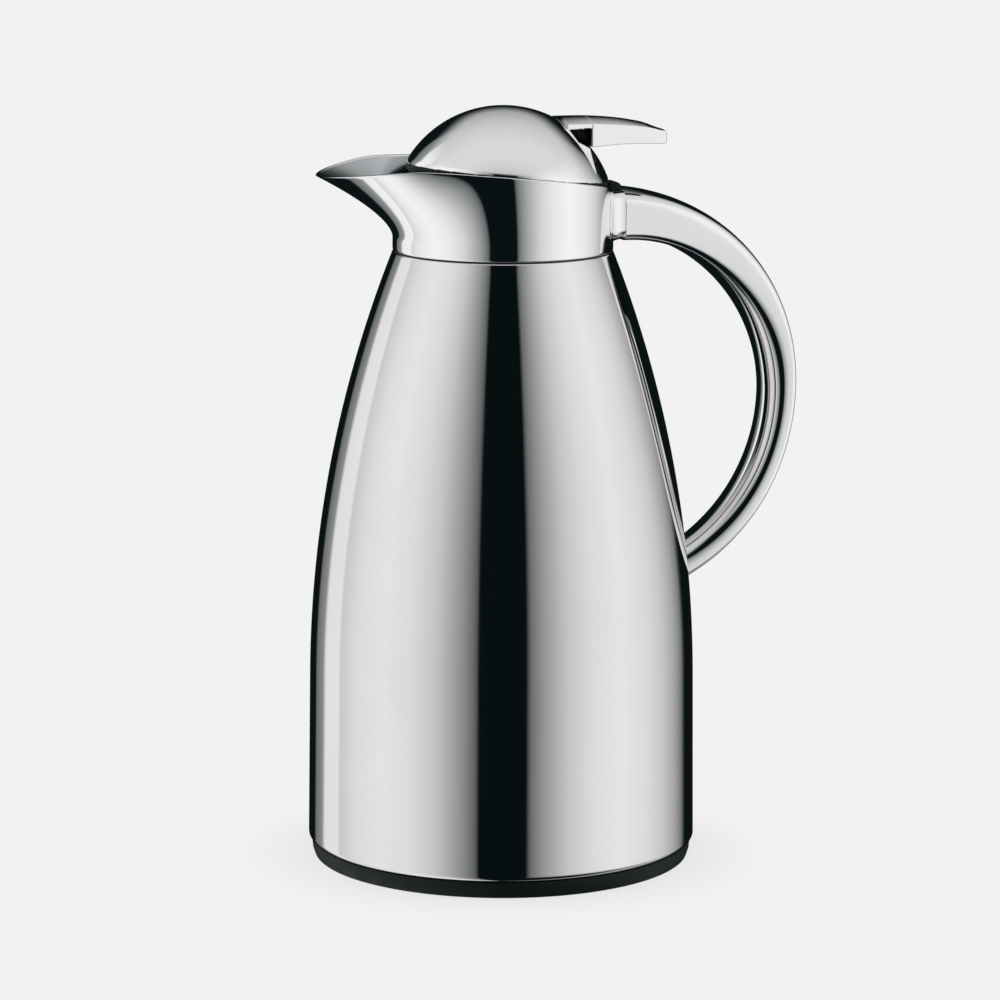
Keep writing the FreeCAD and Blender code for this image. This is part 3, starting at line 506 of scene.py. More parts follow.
FOAM = moulded(
    "foam", dark=(0.62, 0.60, 0.54), light=(0.74, 0.72, 0.66), rough=(0.8, 0.95),
    grain=700.0, depth=3e-4, specular=0.2)


# Body: the shell and its foot

def shell_flank():
    """Centre and radius of the arc from the shoulder up to the neck."""
    lean = math.atan2(SHELL_TAPER, SHOULDER_HEIGHT)
    shoulder = BODY_RADIUS - SHELL_TAPER
    across = shoulder - NECK_RADIUS
    up = BODY_TOP - SHOULDER_Z
    radius = (across ** 2 + up ** 2) / (2 * (across * math.cos(lean) - up * math.sin(lean)))
    return (shoulder - radius * math.cos(lean), SHOULDER_Z - radius * math.sin(lean)), radius


def shell_radius(z, inset=0.0):
    """Radius of the shell at a height, or of a wall inset from it."""
    if z < SHOULDER_Z:
        return BODY_RADIUS - SHELL_TAPER * (z - BASE_HEIGHT) / SHOULDER_HEIGHT - inset
    centre, radius = shell_flank()
    return centre[0] + math.sqrt((radius - inset) ** 2 - (z - centre[1]) ** 2)


def make_shell():
    """Drawn steel shell, curled in below and open at the neck."""
    curl = (BODY_RADIUS - FOOT_CURL, BASE_HEIGHT + FOOT_CURL)
    lip = curl[0] - FOOT_LIP
    edge_z = BODY_TOP - SHELL_EDGE
    edge_radius = shell_radius(edge_z)
    heights = spaced(curl[1], SHOULDER_Z, steps=12) + spaced(SHOULDER_Z, edge_z, steps=60)[1:]
    outline = [(lip, BASE_HEIGHT), (curl[0], BASE_HEIGHT)]
    outline += arc(curl, FOOT_CURL, start=-80, end=-10, steps=8)
    outline += [(shell_radius(z), z) for z in heights]
    outline += [(edge_radius - inward, BODY_TOP - down) for inward, down in SHELL_EDGE_POINTS]
    outline += [(NECK_BORE, BODY_TOP), (NECK_BORE, BODY_TOP - SHELL_WALL)]
    outline += [(shell_radius(z, SHELL_WALL), z) for z in reversed(heights[:-1])]
    outline += arc(curl, FOOT_CURL - SHELL_WALL, start=0, end=-90, steps=5)
    outline += [(lip, BASE_HEIGHT + SHELL_WALL)]
    shape = bmesh.new()
    add_turned(shape, outline, FINE)
    finish_mesh("steel_shell", shape, "carafe", STEEL, ["body_shell"], sharp=50)


def make_foot():
    """Black ring under the shell, with a spigot inside it and a stop for the cover."""
    widest = BODY_RADIUS - FOOT_INSET
    bottom = widest - FOOT_TAPER
    bore = widest - RING_WIDTH
    stop = bore - STOP_WIDTH
    spigot = BODY_RADIUS - FOOT_CURL - FOOT_LIP - CLOSE_FIT
    inside = spigot - SPIGOT_WALL
    seam = BASE_HEIGHT - FOOT_SEAM
    top = BASE_HEIGHT + SPIGOT_HEIGHT
    stop_top = COVER_TOP + STOP_THICKNESS
    bulge = (bottom + FOOT_BULGE_SHARE * FOOT_TAPER, FOOT_BULGE_HEIGHT_SHARE * BASE_HEIGHT)
    corners = [
        (bore, 0, 0.5), (bottom, 0, 0.9), (*bulge, 0.0), (widest, seam, 0.45), (spigot, seam, 0.1),
        (spigot, top, 0.4), (inside, top, 0.4), (inside, stop_top, 0.2), (stop, stop_top, 0.3),
        (stop, COVER_TOP, 0.3), (bore, COVER_TOP, 0.2),
    ]
    shape = bmesh.new()
    add_turned(shape, soften(corners), FINE)
    finish_mesh("black_foot", shape, "carafe", BLACK, ["foot_ring"], sharp=40)


# Collar: a wall that flares into the spout, under an arched rim

def collar_point(phi, rise, inset):
    """A point of the collar, by the angle from the spout, the rise and the inset from the outside."""
    growth = max(rise - SPOUT_START, 0) / SPOUT_HEIGHT
    fading = math.exp(-(abs(math.degrees(phi)) / SPOUT_SPREAD) ** SPOUT_SHARPNESS)
    spout = SPOUT_REACH * growth ** SPOUT_CURVE * fading
    flare = SIDE_FLARE * (rise / RIM_CREST) ** 2 * math.sin(phi) ** 2
    r = NECK_RADIUS + spout + flare - inset
    return Vector((-r * math.cos(phi), -r * math.sin(phi), COLLAR_Z + rise))


def rim_rise(phi, inset):
    """Height of the rim at an angle from the spout, under the arch."""
    rise = RIM_FIRST_GUESS
    for _ in range(RIM_SEARCH_STEPS):
        rise = read_table(RIM_X, RIM_RISE, collar_point(phi, rise, inset).x)
    return rise


def make_collar():
    """Collar and spout: up the outside, over the rim and down the inside to the flange."""
    count, levels, painted_shade_levels = 256, 44, 24
    turns = [turn - math.pi for turn in full_turn(count)]
    angles = [turn - RING_CROWDING * math.sin(turn) for turn in turns]
    outer_top = [rim_rise(a, 0) - RIM_EDGE for a in angles]
    inner_top = [rim_rise(a, COLLAR_WALL) - RIM_EDGE for a in angles]

    def wall_row(start, tops, share, inset):
        return [collar_point(a, start + (top - start) * share, inset) for a, top in zip(angles, tops)]

    def rim_row(tops, lift, inset):
        return [collar_point(a, top + RIM_EDGE * lift, inset) for a, top in zip(angles, tops)]

    rows = [[collar_point(a, rise, inset) for a in angles] for rise, inset in LOWER_EDGE]
    rows += [wall_row(LOWER_EDGE_HEIGHT, outer_top, share, 0) for share in spaced(0, 1, levels)]
    rows += [rim_row(outer_top, lift, inset) for lift, inset in RIM_OUTER]
    rows += [rim_row(inner_top, lift, inset) for lift, inset in RIM_INNER]
    rows += [wall_row(COLLAR_LIP, inner_top, share, COLLAR_WALL) for share in reversed(spaced(0, 1, levels))]
    flange = (COLLAR_Z + COLLAR_LIP, COLLAR_Z)
    for z in flange:
        rows.append([Vector((-NECK_BORE * math.cos(a), -NECK_BORE * math.sin(a), z)) for a in angles])
    shape = bmesh.new()
    made = add_rings(shape, rows, closed=True)
    # The inside is darkened with painted shade: a dimmer satin chrome higher up, and black lower down
    shaded_inside, painted_dark = 1, 2
    inside = {v for row in made[-len(flange) - levels - 1:] for v in row}
    deep = {v for row in made[-len(flange) - painted_shade_levels:] for v in row}
    for face in shape.faces:
        if all(v in deep for v in face.verts):
            face.material_index = painted_dark
        elif all(v in inside for v in face.verts):
            face.material_index = shaded_inside
    collar = finish_mesh("spout_collar", shape, "carafe", CHROME, ["collar"], sharp=60)
    collar.data.materials.append(SHADED_INNER_CHROME)
    collar.data.materials.append(BLACK)


def rounded_ring(width, near, far, edge, count=10):
    """Points (y, d) of a rounded rectangle, the same number for every size."""
    across = width / 2 - edge
    low, high = near + edge, far - edge
    ring = []
    for y, d, start in ((across, high, 0), (-across, high, 90), (-across, low, 180), (across, low, 270)):
        ring += arc((y, d), edge, start, start + 90, count)
    return ring


def make_boss():
    """Flared socket on the collar that carries the handle, and the hinge lugs on it."""
    inner, outer, width = strap_limits(ROOT_ANGLE)
    low, high = (HANDLE_Z + math.sqrt(r ** 2 - (ROOT_X - HANDLE_X) ** 2) for r in (inner, outer))
    top = min(high, HINGE_Z - BOSS_UPPER_GAP)
    rows = []
    for share in spaced(0, 1, steps=24):
        flare = BOSS_FLARE * (1 - share) ** BOSS_FLARE_POWER
        x = ROOT_X - BOSS_DEPTH * (1 - share)
        bottom = max(low - flare, COLLAR_Z + BOSS_LOWER_GAP)
        edge = min(STRAP_EDGE + flare / 2, (top - bottom) * BOSS_EDGE_LIMIT)
        rows.append([Vector((x, y, z)) for y, z in rounded_ring(width + 2 * flare, bottom, top, edge)])
    shape = bmesh.new()
    made = add_rings(shape, rows)
    cap(shape, made[-1])
    socket = set(shape.faces)
    start = SPRING_ROOM / 2 + KNUCKLE_WIDTH + LOOSE_FIT
    for side in (-1, 1):
        ends = [(HINGE_X, side * y, HINGE_Z) for y in (start, start + LUG_WIDTH)]
        add_rod(shape, KNUCKLE_RADIUS, *ends, bevel=LUG_BEVEL)
    # The lugs are painted black, as a painted dark reflection round the hinge
    painted_dark = 1
    for face in shape.faces:
        face.material_index = 0 if face in socket else painted_dark
    piece = finish_mesh("handle_socket", shape, "carafe", CHROME, sharp=45)
    piece.data.materials.append(BLACK)


# Handle strap

def belly_share(angle):
    """Growth of the rounded finger side, from none at the collar to full on the grip."""
    return smooth((BELLY_START - angle) / (BELLY_START - BELLY_FULL))


def strap_limits(angle):
    """Inner and outer radius of the strap and its width, at an angle above level."""
    thickening = ROOT_THICKENING * (max(angle, 0) / ROOT_ANGLE) ** ROOT_POWER
    inner = HANDLE_INNER - thickening - BELLY * belly_share(angle)
    crown = math.sin(math.pi * max(angle - CROWN_START, 0) / CROWN_SPAN) ** 2
    outer = HANDLE_OUTER + HANDLE_CROWN * crown
    end_width, end_angle = (ROOT_WIDTH, ROOT_ANGLE) if angle > 0 else (FOOT_WIDTH, FOOT_ANGLE)
    width = HANDLE_WIDTH - (HANDLE_WIDTH - end_width) * (angle / end_angle) ** 2
    return inner, outer, width


def strap_ring(angle, count=12):
    """Section of the strap: a bowed outer side, soft edges and a finger side that rounds out."""
    inner, outer, width = strap_limits(angle)
    grown = belly_share(angle)
    half = width / 2
    edge = STRAP_EDGE + (GRIP_EDGE - STRAP_EDGE) * grown
    sag = OUTER_SAG_SHARE * width
    bow = (half ** 2 + sag ** 2) / (2 * sag)
    turn = math.degrees(math.acos((half - edge) / (bow - edge)))
    shoulder = outer - bow + (bow - edge) * math.sin(math.radians(turn))
    depth = INNER_EDGE + (shoulder - inner - BELLY_RIM - INNER_EDGE) * grown
    reach = INNER_EDGE + (half * BELLY_WIDTH_SHARE - INNER_EDGE) * grown
    ring = []
    for y, d, wide, deep, start, end in (
        (half - edge, shoulder, edge, edge, 0, turn),
        (0, outer - bow, bow, bow, turn, 180 - turn),
        (edge - half, shoulder, edge, edge, 180 - turn, 180),
        (reach - half, inner + depth, reach, depth, 180, 270),
        (half - reach, inner + depth, reach, depth, 270, 360),
    ):
        for t in map(math.radians, spaced(start, end, count)):
            ring.append((y + wide * math.cos(t), d + deep * math.sin(t)))
    t = math.radians(angle)
    return [Vector((HANDLE_X + d * math.cos(t), y, HANDLE_Z + d * math.sin(t))) for y, d in ring]


def strap_end(index, inside, outside, is_inside):
    """Angle at which one line along the strap leaves the collar's joint face or the shell."""
    for _ in range(SEARCH_STEPS):
        middle = (inside + outside) / 2
        if is_inside(strap_ring(middle)[index]):
            inside = middle
        else:
            outside = middle
    return outside


def in_collar(point):
    """Whether a point lies behind the collar's joint face."""
    return point.x < ROOT_X + JOINT_GAP


def in_shell(point):
    """Whether a point lies inside the shell."""
    return math.hypot(point.x, point.y) < shell_radius(point.z) + JOINT_GAP


def make_handle():
    """Strap from the collar's joint face round to the shell."""
    lines = range(len(strap_ring(0)))
    first = [strap_end(i, *ROOT_SEARCH, in_collar) for i in lines]
    last = [strap_end(i, *FOOT_SEARCH, in_shell) for i in lines]
    rows = []
    for share in spaced(0, 1, steps=150):
        rows.append([strap_ring(first[i] + (last[i] - first[i]) * share)[i] for i in lines])
    shape = bmesh.new()
    add_bar(shape, rows)
    finish_mesh("strap_handle", shape, "carafe", CHROME, ["handle"], sharp=60)


# Lid

def make_dome():
    """Hollow dome with an edge that rolls under, tilted down to the hinge."""
    middle = (0, 0)
    roll_x = DOME_EDGE - DOME_ROLL
    roll = (roll_x, math.sqrt((DOME_RADIUS - DOME_ROLL) ** 2 - roll_x ** 2))
    lean = math.degrees(math.atan2(roll[1], roll[0]))
    inner_radius = DOME_RADIUS - DOME_WALL
    outline = [(0.0, DOME_RADIUS)]
    outline += arc(middle, DOME_RADIUS, start=90, end=lean, steps=48)[1:]
    outline += arc(roll, DOME_ROLL, start=lean, end=-90, steps=60)[1:]
    outline += arc(roll, DOME_ROLL - DOME_WALL, start=-90, end=lean, steps=14)
    outline += arc(middle, inner_radius, start=lean, end=90, steps=24)[1:-1]
    outline += [(0.0, inner_radius)]
    shape = bmesh.new()
    add_turned(shape, outline, FINE)
    tilted = Matrix.Translation((0, 0, DOME_Z)) @ Matrix.Rotation(math.radians(LID_TILT), 4, "Y")
    bmesh.ops.transform(shape, matrix=tilted, verts=shape.verts)
    # Relief round the hinge, which ends within a millimetre at its sides
    for v in shape.verts:
        away = Vector((v.co.x - HINGE_X, v.co.z - HINGE_Z))
        clear = RELIEF_RADIUS * min(max(RELIEF_HALF_WIDTH - abs(v.co.y), 0), 1)
        if v.co.x > 0 and away.length < clear:
            away = away.normalized() * clear
            v.co.x, v.co.z = HINGE_X + away.x, HINGE_Z + away.y
    dome = finish_mesh("dome_cap", shape, "lid", CHROME, ["lid_dome"], sharp=60)
    # The edge is painted black up to the line of the collar's rim: painted shade in the gap under the rim
    dome.data.materials.append(BLACK)
    painted_dark = 1
    for face in dome.data.polygons:
        x, z = face.center.x / MM, face.center.z / MM
        rim = COLLAR_Z + read_table(RIM_X, RIM_RISE, x)
        if z < rim - PAINTED_SHADE_DROP + PAINTED_SHADE_SLOPE * max(x - PAINTED_SHADE_START, 0):
            face.material_index = painted_dark


def lever_ring(share, shrink=0.0, neck=False, hollow=False):
    """Section of the lever: upright sides and a crowned top. The neck is narrow under a top plate."""
    half = (LEVER_ROOT_WIDTH + (LEVER_WIDTH - LEVER_ROOT_WIDTH) * share) / 2 - shrink
    foot = NECK_HALF_WIDTH if neck else half
    low = LEVER_Z + LEVER_ARCH * read_table(LEVER_PLACES, LEVER_ARCH_SHARES, share) + shrink
    edge = LEVER_Z + LEVER_HEIGHT * read_table(LEVER_PLACES, LEVER_HEIGHT_SHARES, share) - shrink
    crown = LEVER_CROWN * read_table(LEVER_PLACES, LEVER_CROWN_SHARES, share)
    side = arc((foot - UNDER_EDGE, low + UNDER_EDGE), UNDER_EDGE, start=270, end=360, steps=6)
    if neck:
        side += [(foot, PLATE_Z - UNDER_EDGE), (foot + UNDER_EDGE, PLATE_Z)]
        side += [(half - UNDER_EDGE, PLATE_Z), (half, PLATE_Z + UNDER_EDGE)]
    else:
        side += [(half, z) for z in spaced(low, edge, steps=6)[2:6]]
    side += arc((half - TOP_EDGE, edge - TOP_EDGE), TOP_EDGE, start=0, end=TOP_EDGE_TURN, steps=3)
    across = half - TOP_EDGE_SHARE * TOP_EDGE
    top = [(u * across, edge + crown * (1 - u * u)) for u in spaced(1, -1, steps=24)[1:-1]]
    roof = LEVER_Z + POCKET_HEIGHT if hollow else low
    pocket_half = LEVER_WIDTH / 2 - POCKET_WALL
    pocket = [(-pocket_half, low), (-pocket_half, roof), (pocket_half, roof), (pocket_half, low)]
    return pocket + side + top + [(-y, z) for y, z in reversed(side)]


def make_lever():
    """Thumb lever: the neck, the side walls with their pocket, and the rounded tip."""
    rows = []

    def add_row(x, shrink=0.0, neck=False, hollow=False):
        share = (x - LEVER_START) / (LEVER_TIP - LEVER_START)
        rows.append([Vector((x, y, z)) for y, z in lever_ring(share, shrink, neck, hollow)])

    pocket_end = LEVER_TIP - POCKET_WALL
    tip_start = LEVER_TIP - TIP_EDGE
    for x in spaced(LEVER_START, CHEEK_X, steps=14):
        add_row(x, neck=True)
    for t in map(math.radians, spaced(0, 90, steps=4)):
        add_row(CHEEK_X + CHEEK_EDGE * (1 - math.cos(t)), CHEEK_EDGE * (1 - math.sin(t)))
    for x in spaced(CHEEK_X + CHEEK_EDGE, POCKET_START, steps=8)[1:]:
        add_row(x)
    for x in spaced(POCKET_START, pocket_end, steps=30):
        add_row(x, hollow=True)
    for x in spaced(pocket_end, tip_start, steps=2):
        add_row(x)
    for t in map(math.radians, spaced(0, 90, steps=6)[1:]):
        add_row(tip_start + TIP_EDGE * math.sin(t), TIP_SHRINK * (1 - math.cos(t)))
    shape = bmesh.new()
    add_bar(shape, rows)
    lever = finish_mesh("thumb_piece", shape, "lid", CHROME, ["thumb_lever"], sharp=40)
    # The underside and the neck under the top plate are painted black, as painted shade
    lever.data.materials.append(BLACK)
    painted_dark = 1
    neck_end = CHEEK_X + NECK_END_SLACK
    neck_top = PLATE_Z - NECK_TOP_SLACK
    for face in lever.data.polygons:
        x, z = face.center.x / MM, face.center.z / MM
        if face.normal.z < FACING_DOWN or x < neck_end and z < neck_top:
            face.material_index = painted_dark


# Pieces inside, seen when the lid is open

def make_seat():
    """Ring inside the collar: the cone that the stopper rests in, above a skirt."""
    outside = NECK_BORE - LOOSE_FIT
    inside = outside - INSERT_WALL
    flange = NECK_RADIUS - COLLAR_WALL - LOOSE_FIT
    bore = FLASK_BORE + INSERT_BORE_STEP
    bottom = BODY_TOP - SKIRT_DEPTH
    ledge = COLLAR_Z + COLLAR_LIP
    seat_top = SEAT_Z + SEAT_HEIGHT
    under = SEAT_Z - INSERT_WALL
    corners = [
        (inside, bottom, 0.2), (outside, bottom, 0.4), (outside, ledge, 0.2), (flange, ledge, 0.2),
        (flange, seat_top + INSERT_EDGE_RISE, 0.5), (bore + SEAT_WIDTH, seat_top, 0.8), (bore, SEAT_Z, 0.6),
        (bore, under, 0.3), (inside, under, 0.2),
    ]
    shape = bmesh.new()
    add_turned(shape, soften(corners))
    finish_mesh("stopper_seat", shape, "carafe", BLACK, ["pour_insert"], sharp=40)


def make_stopper():
    """Tapered hollow plug with a flange and a neck."""
    nose = STOPPER_RADIUS - STOPPER_TAPER
    inside = STOPPER_RADIUS - STOPPER_WALL
    flange = STOPPER_RADIUS + STOPPER_FLANGE
    bottom = STOPPER_Z - STOPPER_LENGTH
    floor = bottom + STOPPER_WALL
    flange_top = STOPPER_Z + STOPPER_FLANGE_THICKNESS
    top = flange_top + STOPPER_NECK
    corners = [
        (0, bottom, 0), (nose, bottom, STOPPER_NOSE), (STOPPER_RADIUS, SEAL_Z, 0.3),
        (STOPPER_RADIUS, STOPPER_Z, 0.1), (flange, STOPPER_Z, 0.3), (flange, flange_top, 0.6),
        (STOPPER_RADIUS, flange_top + STOPPER_NECK_SLOPE, 0.8), (STOPPER_RADIUS, top, 0.3),
        (inside, top, 0.3), (inside, SEAL_Z, 0.3), (nose - STOPPER_WALL, floor, 0.6), (0, floor, 0),
    ]
    shape = bmesh.new()
    add_turned(shape, soften(corners))
    finish_mesh("stopper_plug", shape, "lid", BLACK, ["stopper"], sharp=40)


def make_seal():
    """Wedge ring under the stopper's flange."""
    inside = STOPPER_RADIUS + CLOSE_FIT
    corners = [
        (inside, SEAL_Z, 0.2), (SEAL_LOWER_RADIUS, SEAL_Z, 0.5), (SEAL_UPPER_RADIUS, STOPPER_Z, 0.7),
        (inside, STOPPER_Z, 0.2),
    ]
    shape = bmesh.new()
    add_turned(shape, soften(corners))
    finish_mesh("seal_wedge", shape, "lid", SILICONE, ["stopper_seal"], sharp=40)


def make_spring():
    """Torsion coil with a leg down into the socket, and its other leg, which turns with the lid."""
    leg_steps, coil_steps = 6, 170
    leg = spaced(-SPRING_COLLAR_LEG, 0, leg_steps)[:-1]
    path = [Vector((HINGE_X + SPRING_RADIUS, -SPRING_HALF_WIDTH, HINGE_Z + z)) for z in leg]
    for share in spaced(0, 1, coil_steps):
        t = 2 * math.pi * SPRING_TURNS * share
        x = HINGE_X + SPRING_RADIUS * math.cos(t)
        y = SPRING_HALF_WIDTH * (2 * share - 1)
        z = HINGE_Z + SPRING_RADIUS * math.sin(t)
        path.append(Vector((x, y, z)))
    shape = bmesh.new()
    add_wire(shape, path, SPRING_WIRE)
    finish_mesh("coil_spring", shape, "carafe", SPRING_STEEL, ["return_spring"], sharp=60)
    lid_leg = [path[-1] + Vector((x, 0, 0)) for x in spaced(0, -SPRING_LID_LEG, leg_steps)]
    shape = bmesh.new()
    add_wire(shape, lid_leg, SPRING_WIRE)
    finish_mesh("spring_leg", shape, "lid", SPRING_STEEL, sharp=60)


make_shell()
make_foot()
make_collar()
make_boss()
make_handle()
make_dome()
make_lever()
make_seat()
make_stopper()
make_seal()
make_spring()

# Finishes of the solids that stay as they are
KEPT = {
    "base_cover": BLACK,
    "lid_plate": BLACK,
    "neck_nut": BLACK,
    "foot_pad": BLACK,
    "flask_cushion": DARK_RUBBER,
    "collar_gasket": DARK_RUBBER,
    "mouth_seal": SILICONE,
    "stopper_foam": FOAM,
    "flask_inner": SILVERED,
    "flask_outer": SILVERED,
    "root_screws": PIN_STEEL,
    "foot_screw": PIN_STEEL,
    "lever_screws": PIN_STEEL,
    "hinge_pin": PIN_STEEL,
}
for name, material in KEPT.items():
    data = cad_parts[name].data
    data.materials.clear()
    data.materials.append(material)


# Camera: places in metres, angles in radians, lens and sensor in millimetres

LOOK = math.radians(17.0)      # turned towards the spout's side
CAMERA_DISTANCE = 1.56669
CAMERA_HEIGHT = 0.41394
CAMERA_PITCH = 0.181           # downwards
CAMERA_ROLL = math.radians(0.2)
CAMERA_LENS = 161.55
CAMERA_SENSOR = 36.0
CAMERA_SHIFT = (-0.002, 0.0015)
CAMERA_FAR = 50.0


def make_camera():
    data = bpy.data.cameras.new("camera")
    data.sensor_width = CAMERA_SENSOR
    data.lens = CAMERA_LENS
    data.shift_x, data.shift_y = CAMERA_SHIFT
    data.clip_end = CAMERA_FAR
    camera = bpy.data.objects.new("camera", data)
    bpy.context.scene.collection.objects.link(camera)
    camera.location = (-math.sin(LOOK) * CAMERA_DISTANCE, -math.cos(LOOK) * CAMERA_DISTANCE, CAMERA_HEIGHT)
    turn = Matrix.Rotation(-LOOK, 3, "Z")
    turn = turn @ Matrix.Rotation(math.pi / 2 - CAMERA_PITCH, 3, "X")
    turn = turn @ Matrix.Rotation(CAMERA_ROLL, 3, "Z")
    camera.rotation_euler = turn.to_euler()
    bpy.context.scene.camera = camera


# Studio: light walls and ceiling all round, with a dark gap at the camera and another behind

# Brightness of the wall, by degrees round from the camera, to the right positive
WALL_LIGHT = (
    (-180, 0.004), (-145, 0.004), (-142, 0.18), (-131, 0.31), (-126.8, 0.95), (-111, 1.0), (-109, 0.76),
    (-93, 0.94), (-73.5, 1.02), (-54, 0.93), (-38.7, 0.73), (-23.2, 0.37), (-14.5, 0.14), (-12.6, 0.003),
    (14.6, 0.003), (16.4, 0.17), (24, 0.38), (39, 0.73), (54, 0.93), (73.5, 1.03), (93, 0.93), (108, 0.76),
    (124, 0.46), (133.5, 0.22), (137, 0.05), (140, 0.004), (180, 0.004),
)
# The same below, where the dark gap reaches further round to the right
LOW_GAP_END = (65, 0.003)
LOW_GAP_LIGHT = (115, 0.5)
LOW_LIGHT = (
    *(stop for stop in WALL_LIGHT if stop[0] < 0),
    LOW_GAP_END,
    LOW_GAP_LIGHT,
    *(stop for stop in WALL_LIGHT if stop[0] > LOW_GAP_LIGHT[0]),
)
# Brightness overhead, from the back (-1) to the camera's side (1)
CEILING_LIGHT = (
    (-1.0, 0.002), (-0.97, 0.04), (-0.9, 0.21), (-0.73, 0.43), (-0.56, 0.55), (-0.4, 0.64), (-0.24, 0.70),
    (0.0, 0.77), (0.3, 0.78), (0.47, 0.71), (0.56, 0.63), (0.65, 0.50), (0.75, 0.32), (0.85, 0.09),
    (1.0, 0.003),
)
# Heights in degrees: the low light gives way to the wall, and the wall to the ceiling
LOW_FULL = -44.0
LOW_OVER = -20.0
WALL_OVER = 19.0               # the ceiling begins here straight behind the part
WALL_OVER_FRONT = 20.0         # higher by this on the camera's side
WALL_OVER_SIDE = 14.0          # and by this at the sides
CEILING_FULL = 42.0
CEILING_FULL_FRONT = 14.0
CEILING_FULL_SIDE = 10.0
FRONT_RANGE = (-0.2, 0.4)      # share of a direction that points to the camera
SIDE_RANGE = (0.05, 0.4)       # and to the left or right
# The light's colour leans to green-blue, more so where it is dim
DIM = 0.45
GREEN_BASE = 0.003
GREEN_DIM = 0.2
BLUE_BASE = 0.0035
BLUE_DIM = 0.12
STUDIO_RADIUS = 1.0            # metres, like the height of its middle
STUDIO_HEIGHT = 0.13
# Sockets of a mix node for colours
MIX_FIRST, MIX_SECOND, MIX_RESULT = 6, 7, 2


def light_colour(level):
    """Colour of the studio's light at a brightness."""
    shaded = level * max(DIM - level, 0)
    return (level, level + GREEN_BASE + GREEN_DIM * shaded, level + BLUE_BASE + BLUE_DIM * shaded, 1)


def studio_material():
    """Light that depends on the direction from the studio's middle."""
    material = bpy.data.materials.new("studio_light")
    material.use_nodes = True
    material.cycles.emission_sampling = "NONE"
    tree = material.node_tree
    tree.nodes.clear()
    link = tree.links.new

    def feed(socket, value):
        if isinstance(value, (int, float)):
            socket.default_value = value
        else:
            link(value, socket)

    def maths(operation, *values):
        node = add_node(tree, "ShaderNodeMath")
        node.operation = operation
        for socket, value in zip(node.inputs, values):
            feed(socket, value)
        return node.outputs[0]

    def between(value, first, last):
        node = add_node(tree, "ShaderNodeMapRange")
        node.interpolation_type = "SMOOTHSTEP"
        feed(node.inputs["Value"], value)
        feed(node.inputs["From Min"], first)
        feed(node.inputs["From Max"], last)
        return node.outputs["Result"]

    def ramp(source, stops, start, end):
        node = add_node(tree, "ShaderNodeValToRGB")
        elements = node.color_ramp.elements
        while len(elements) < len(stops):
            elements.new(0.5)
        for element, (place, level) in zip(elements, stops):
            element.position = (place - start) / (end - start)
            element.color = light_colour(level)
        link(source, node.inputs["Fac"])
        return node.outputs["Color"]

    def mix(factor, first, second):
        node = add_node(tree, "ShaderNodeMix")
        node.data_type = "RGBA"
        link(factor, node.inputs["Factor"])
        link(first, node.inputs[MIX_FIRST])
        link(second, node.inputs[MIX_SECOND])
        return node.outputs[MIX_RESULT]

    def raised(base, toward, front_rise, aside, side_rise):
        rise = maths("MAXIMUM", maths("MULTIPLY", toward, front_rise), maths("MULTIPLY", aside, side_rise))
        return maths("ADD", rise, base)

    place = add_node(tree, "ShaderNodeTexCoord")
    direction = add_node(tree, "ShaderNodeVectorMath")
    direction.operation = "NORMALIZE"
    link(place.outputs["Object"], direction.inputs[0])
    axes = add_node(tree, "ShaderNodeSeparateXYZ")
    link(direction.outputs[0], axes.inputs[0])
    x, y, z = axes.outputs
    right = maths("SUBTRACT", maths("MULTIPLY", x, math.cos(LOOK)), maths("MULTIPLY", y, math.sin(LOOK)))
    front = maths("SUBTRACT", maths("MULTIPLY", x, -math.sin(LOOK)), maths("MULTIPLY", y, math.cos(LOOK)))
    turn = maths("DIVIDE", maths("ARCTAN2", right, front), 2 * math.pi)
    turn_share = maths("ADD", turn, 0.5)
    front_share = maths("ADD", maths("MULTIPLY", front, 0.5), 0.5)
    height = maths("MULTIPLY", maths("ARCSINE", z), 180 / math.pi)
    wall = ramp(turn_share, WALL_LIGHT, -180, 180)
    low = ramp(turn_share, LOW_LIGHT, -180, 180)
    ceiling = ramp(front_share, CEILING_LIGHT, -1, 1)
    # The wall reaches highest on the camera's side and lowest straight behind
    toward = between(front, *FRONT_RANGE)
    aside = between(maths("ABSOLUTE", right), *SIDE_RANGE)
    start = raised(WALL_OVER, toward, WALL_OVER_FRONT, aside, WALL_OVER_SIDE)
    end = raised(CEILING_FULL, toward, CEILING_FULL_FRONT, aside, CEILING_FULL_SIDE)
    shade = mix(between(height, LOW_FULL, LOW_OVER), low, wall)
    shade = mix(between(height, start, end), shade, ceiling)
    light = add_node(tree, "ShaderNodeEmission")
    link(shade, light.inputs["Color"])
    out = add_node(tree, "ShaderNodeOutputMaterial")
    link(light.outputs[0], out.inputs["Surface"])
    return material


def stage_object(name, shape, material, height):
    """An object for the stage, with its middle on the Z axis, height in metres."""
    mesh = bpy.data.meshes.new(name)
    shape.to_mesh(mesh)
    shape.free()
    mesh.materials.append(material)
    item = bpy.data.objects.new(name, mesh)
    item.location = (0, 0, height)
    bpy.context.scene.collection.objects.link(item)
    return item


def make_studio():
    shape = bmesh.new()
    bmesh.ops.create_uvsphere(shape, u_segments=96, v_segments=48, radius=STUDIO_RADIUS)
    studio = stage_object("studio", shape, studio_material(), STUDIO_HEIGHT)
    studio.visible_camera = False


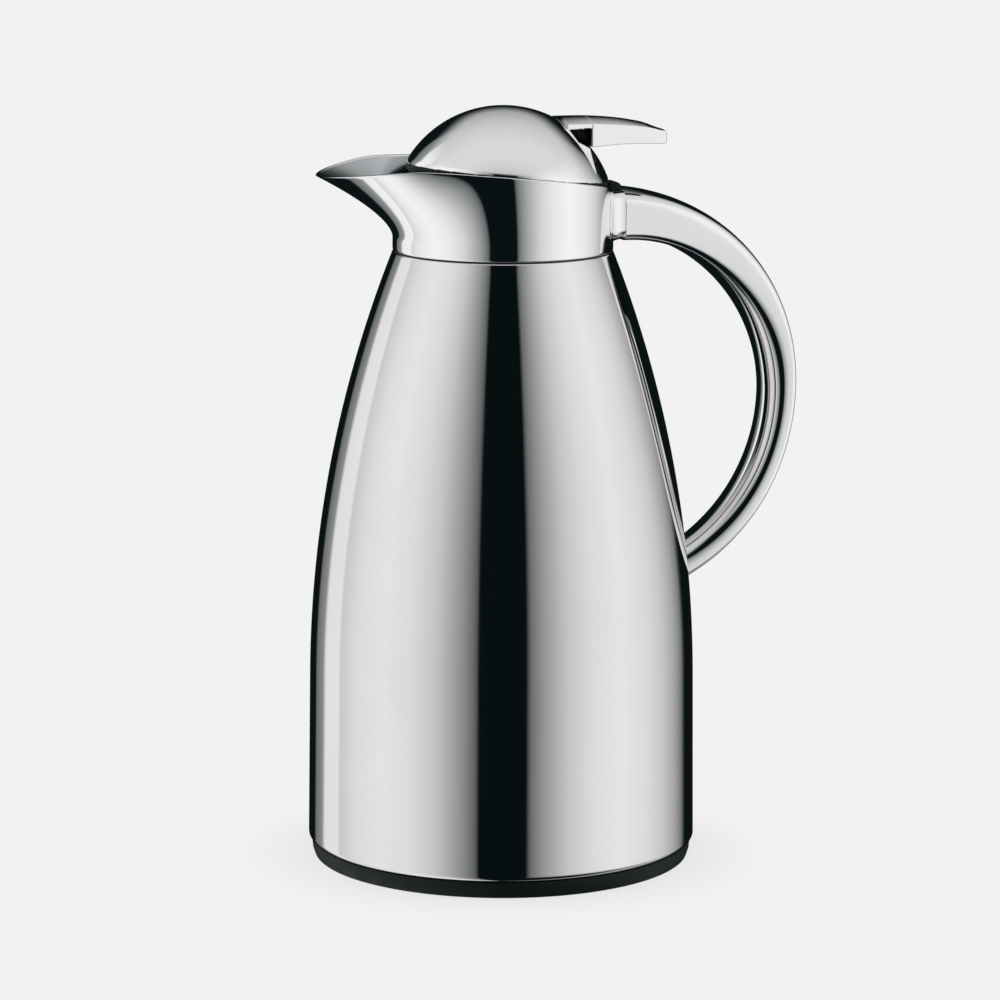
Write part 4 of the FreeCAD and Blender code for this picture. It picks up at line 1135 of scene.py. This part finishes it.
# Floor and backdrop

BACKDROP = (0.887, 0.887, 0.887, 1)
FLOOR_COLOUR = (0.8, 0.8, 0.8, 1)
FLOOR_RADIUS = 5.0             # metres, like the next three
FLOOR_HEIGHT = -0.0003         # a hair under the foot
SHADOW_START = 0.066
SHADOW_END = 0.1
SHADOW_FADE = 0.86             # share of the backdrop's colour under the part


def floor_material():
    """Pale floor that fades into the backdrop and keeps the contact shadow."""
    material, tree, shader = nodes_of("pale_floor")
    material.cycles.emission_sampling = "NONE"
    shader.inputs["Base Color"].default_value = FLOOR_COLOUR
    shader.inputs["Roughness"].default_value = 1.0
    shader.inputs["Specular IOR Level"].default_value = 0.0
    link = tree.links.new
    place = add_node(tree, "ShaderNodeTexCoord")
    length = add_node(tree, "ShaderNodeVectorMath")
    length.operation = "LENGTH"
    link(place.outputs["Object"], length.inputs[0])
    fade = add_node(
        tree, "ShaderNodeMapRange",
        From_Min=SHADOW_START, From_Max=SHADOW_END, To_Min=SHADOW_FADE, To_Max=1.0)
    fade.interpolation_type = "SMOOTHSTEP"
    link(length.outputs["Value"], fade.inputs["Value"])
    pale = add_node(tree, "ShaderNodeEmission", Color=BACKDROP)
    blend = add_node(tree, "ShaderNodeMixShader")
    link(fade.outputs["Result"], blend.inputs["Fac"])
    link(shader.outputs[0], blend.inputs[1])
    link(pale.outputs[0], blend.inputs[2])
    link(blend.outputs[0], tree.nodes["Material Output"].inputs["Surface"])
    return material


def make_floor():
    shape = bmesh.new()
    bmesh.ops.create_circle(shape, cap_ends=True, segments=96, radius=FLOOR_RADIUS)
    floor = stage_object("floor", shape, floor_material(), FLOOR_HEIGHT)
    floor.visible_glossy = False


def make_world():
    world = bpy.data.worlds.new("backdrop")
    bpy.context.scene.world = world
    world.use_nodes = True
    background = world.node_tree.nodes["Background"]
    background.inputs["Color"].default_value = BACKDROP
    background.inputs["Strength"].default_value = 1.0


make_camera()
make_studio()
make_floor()
make_world()
bpy.context.scene.view_settings.view_transform = "Standard"
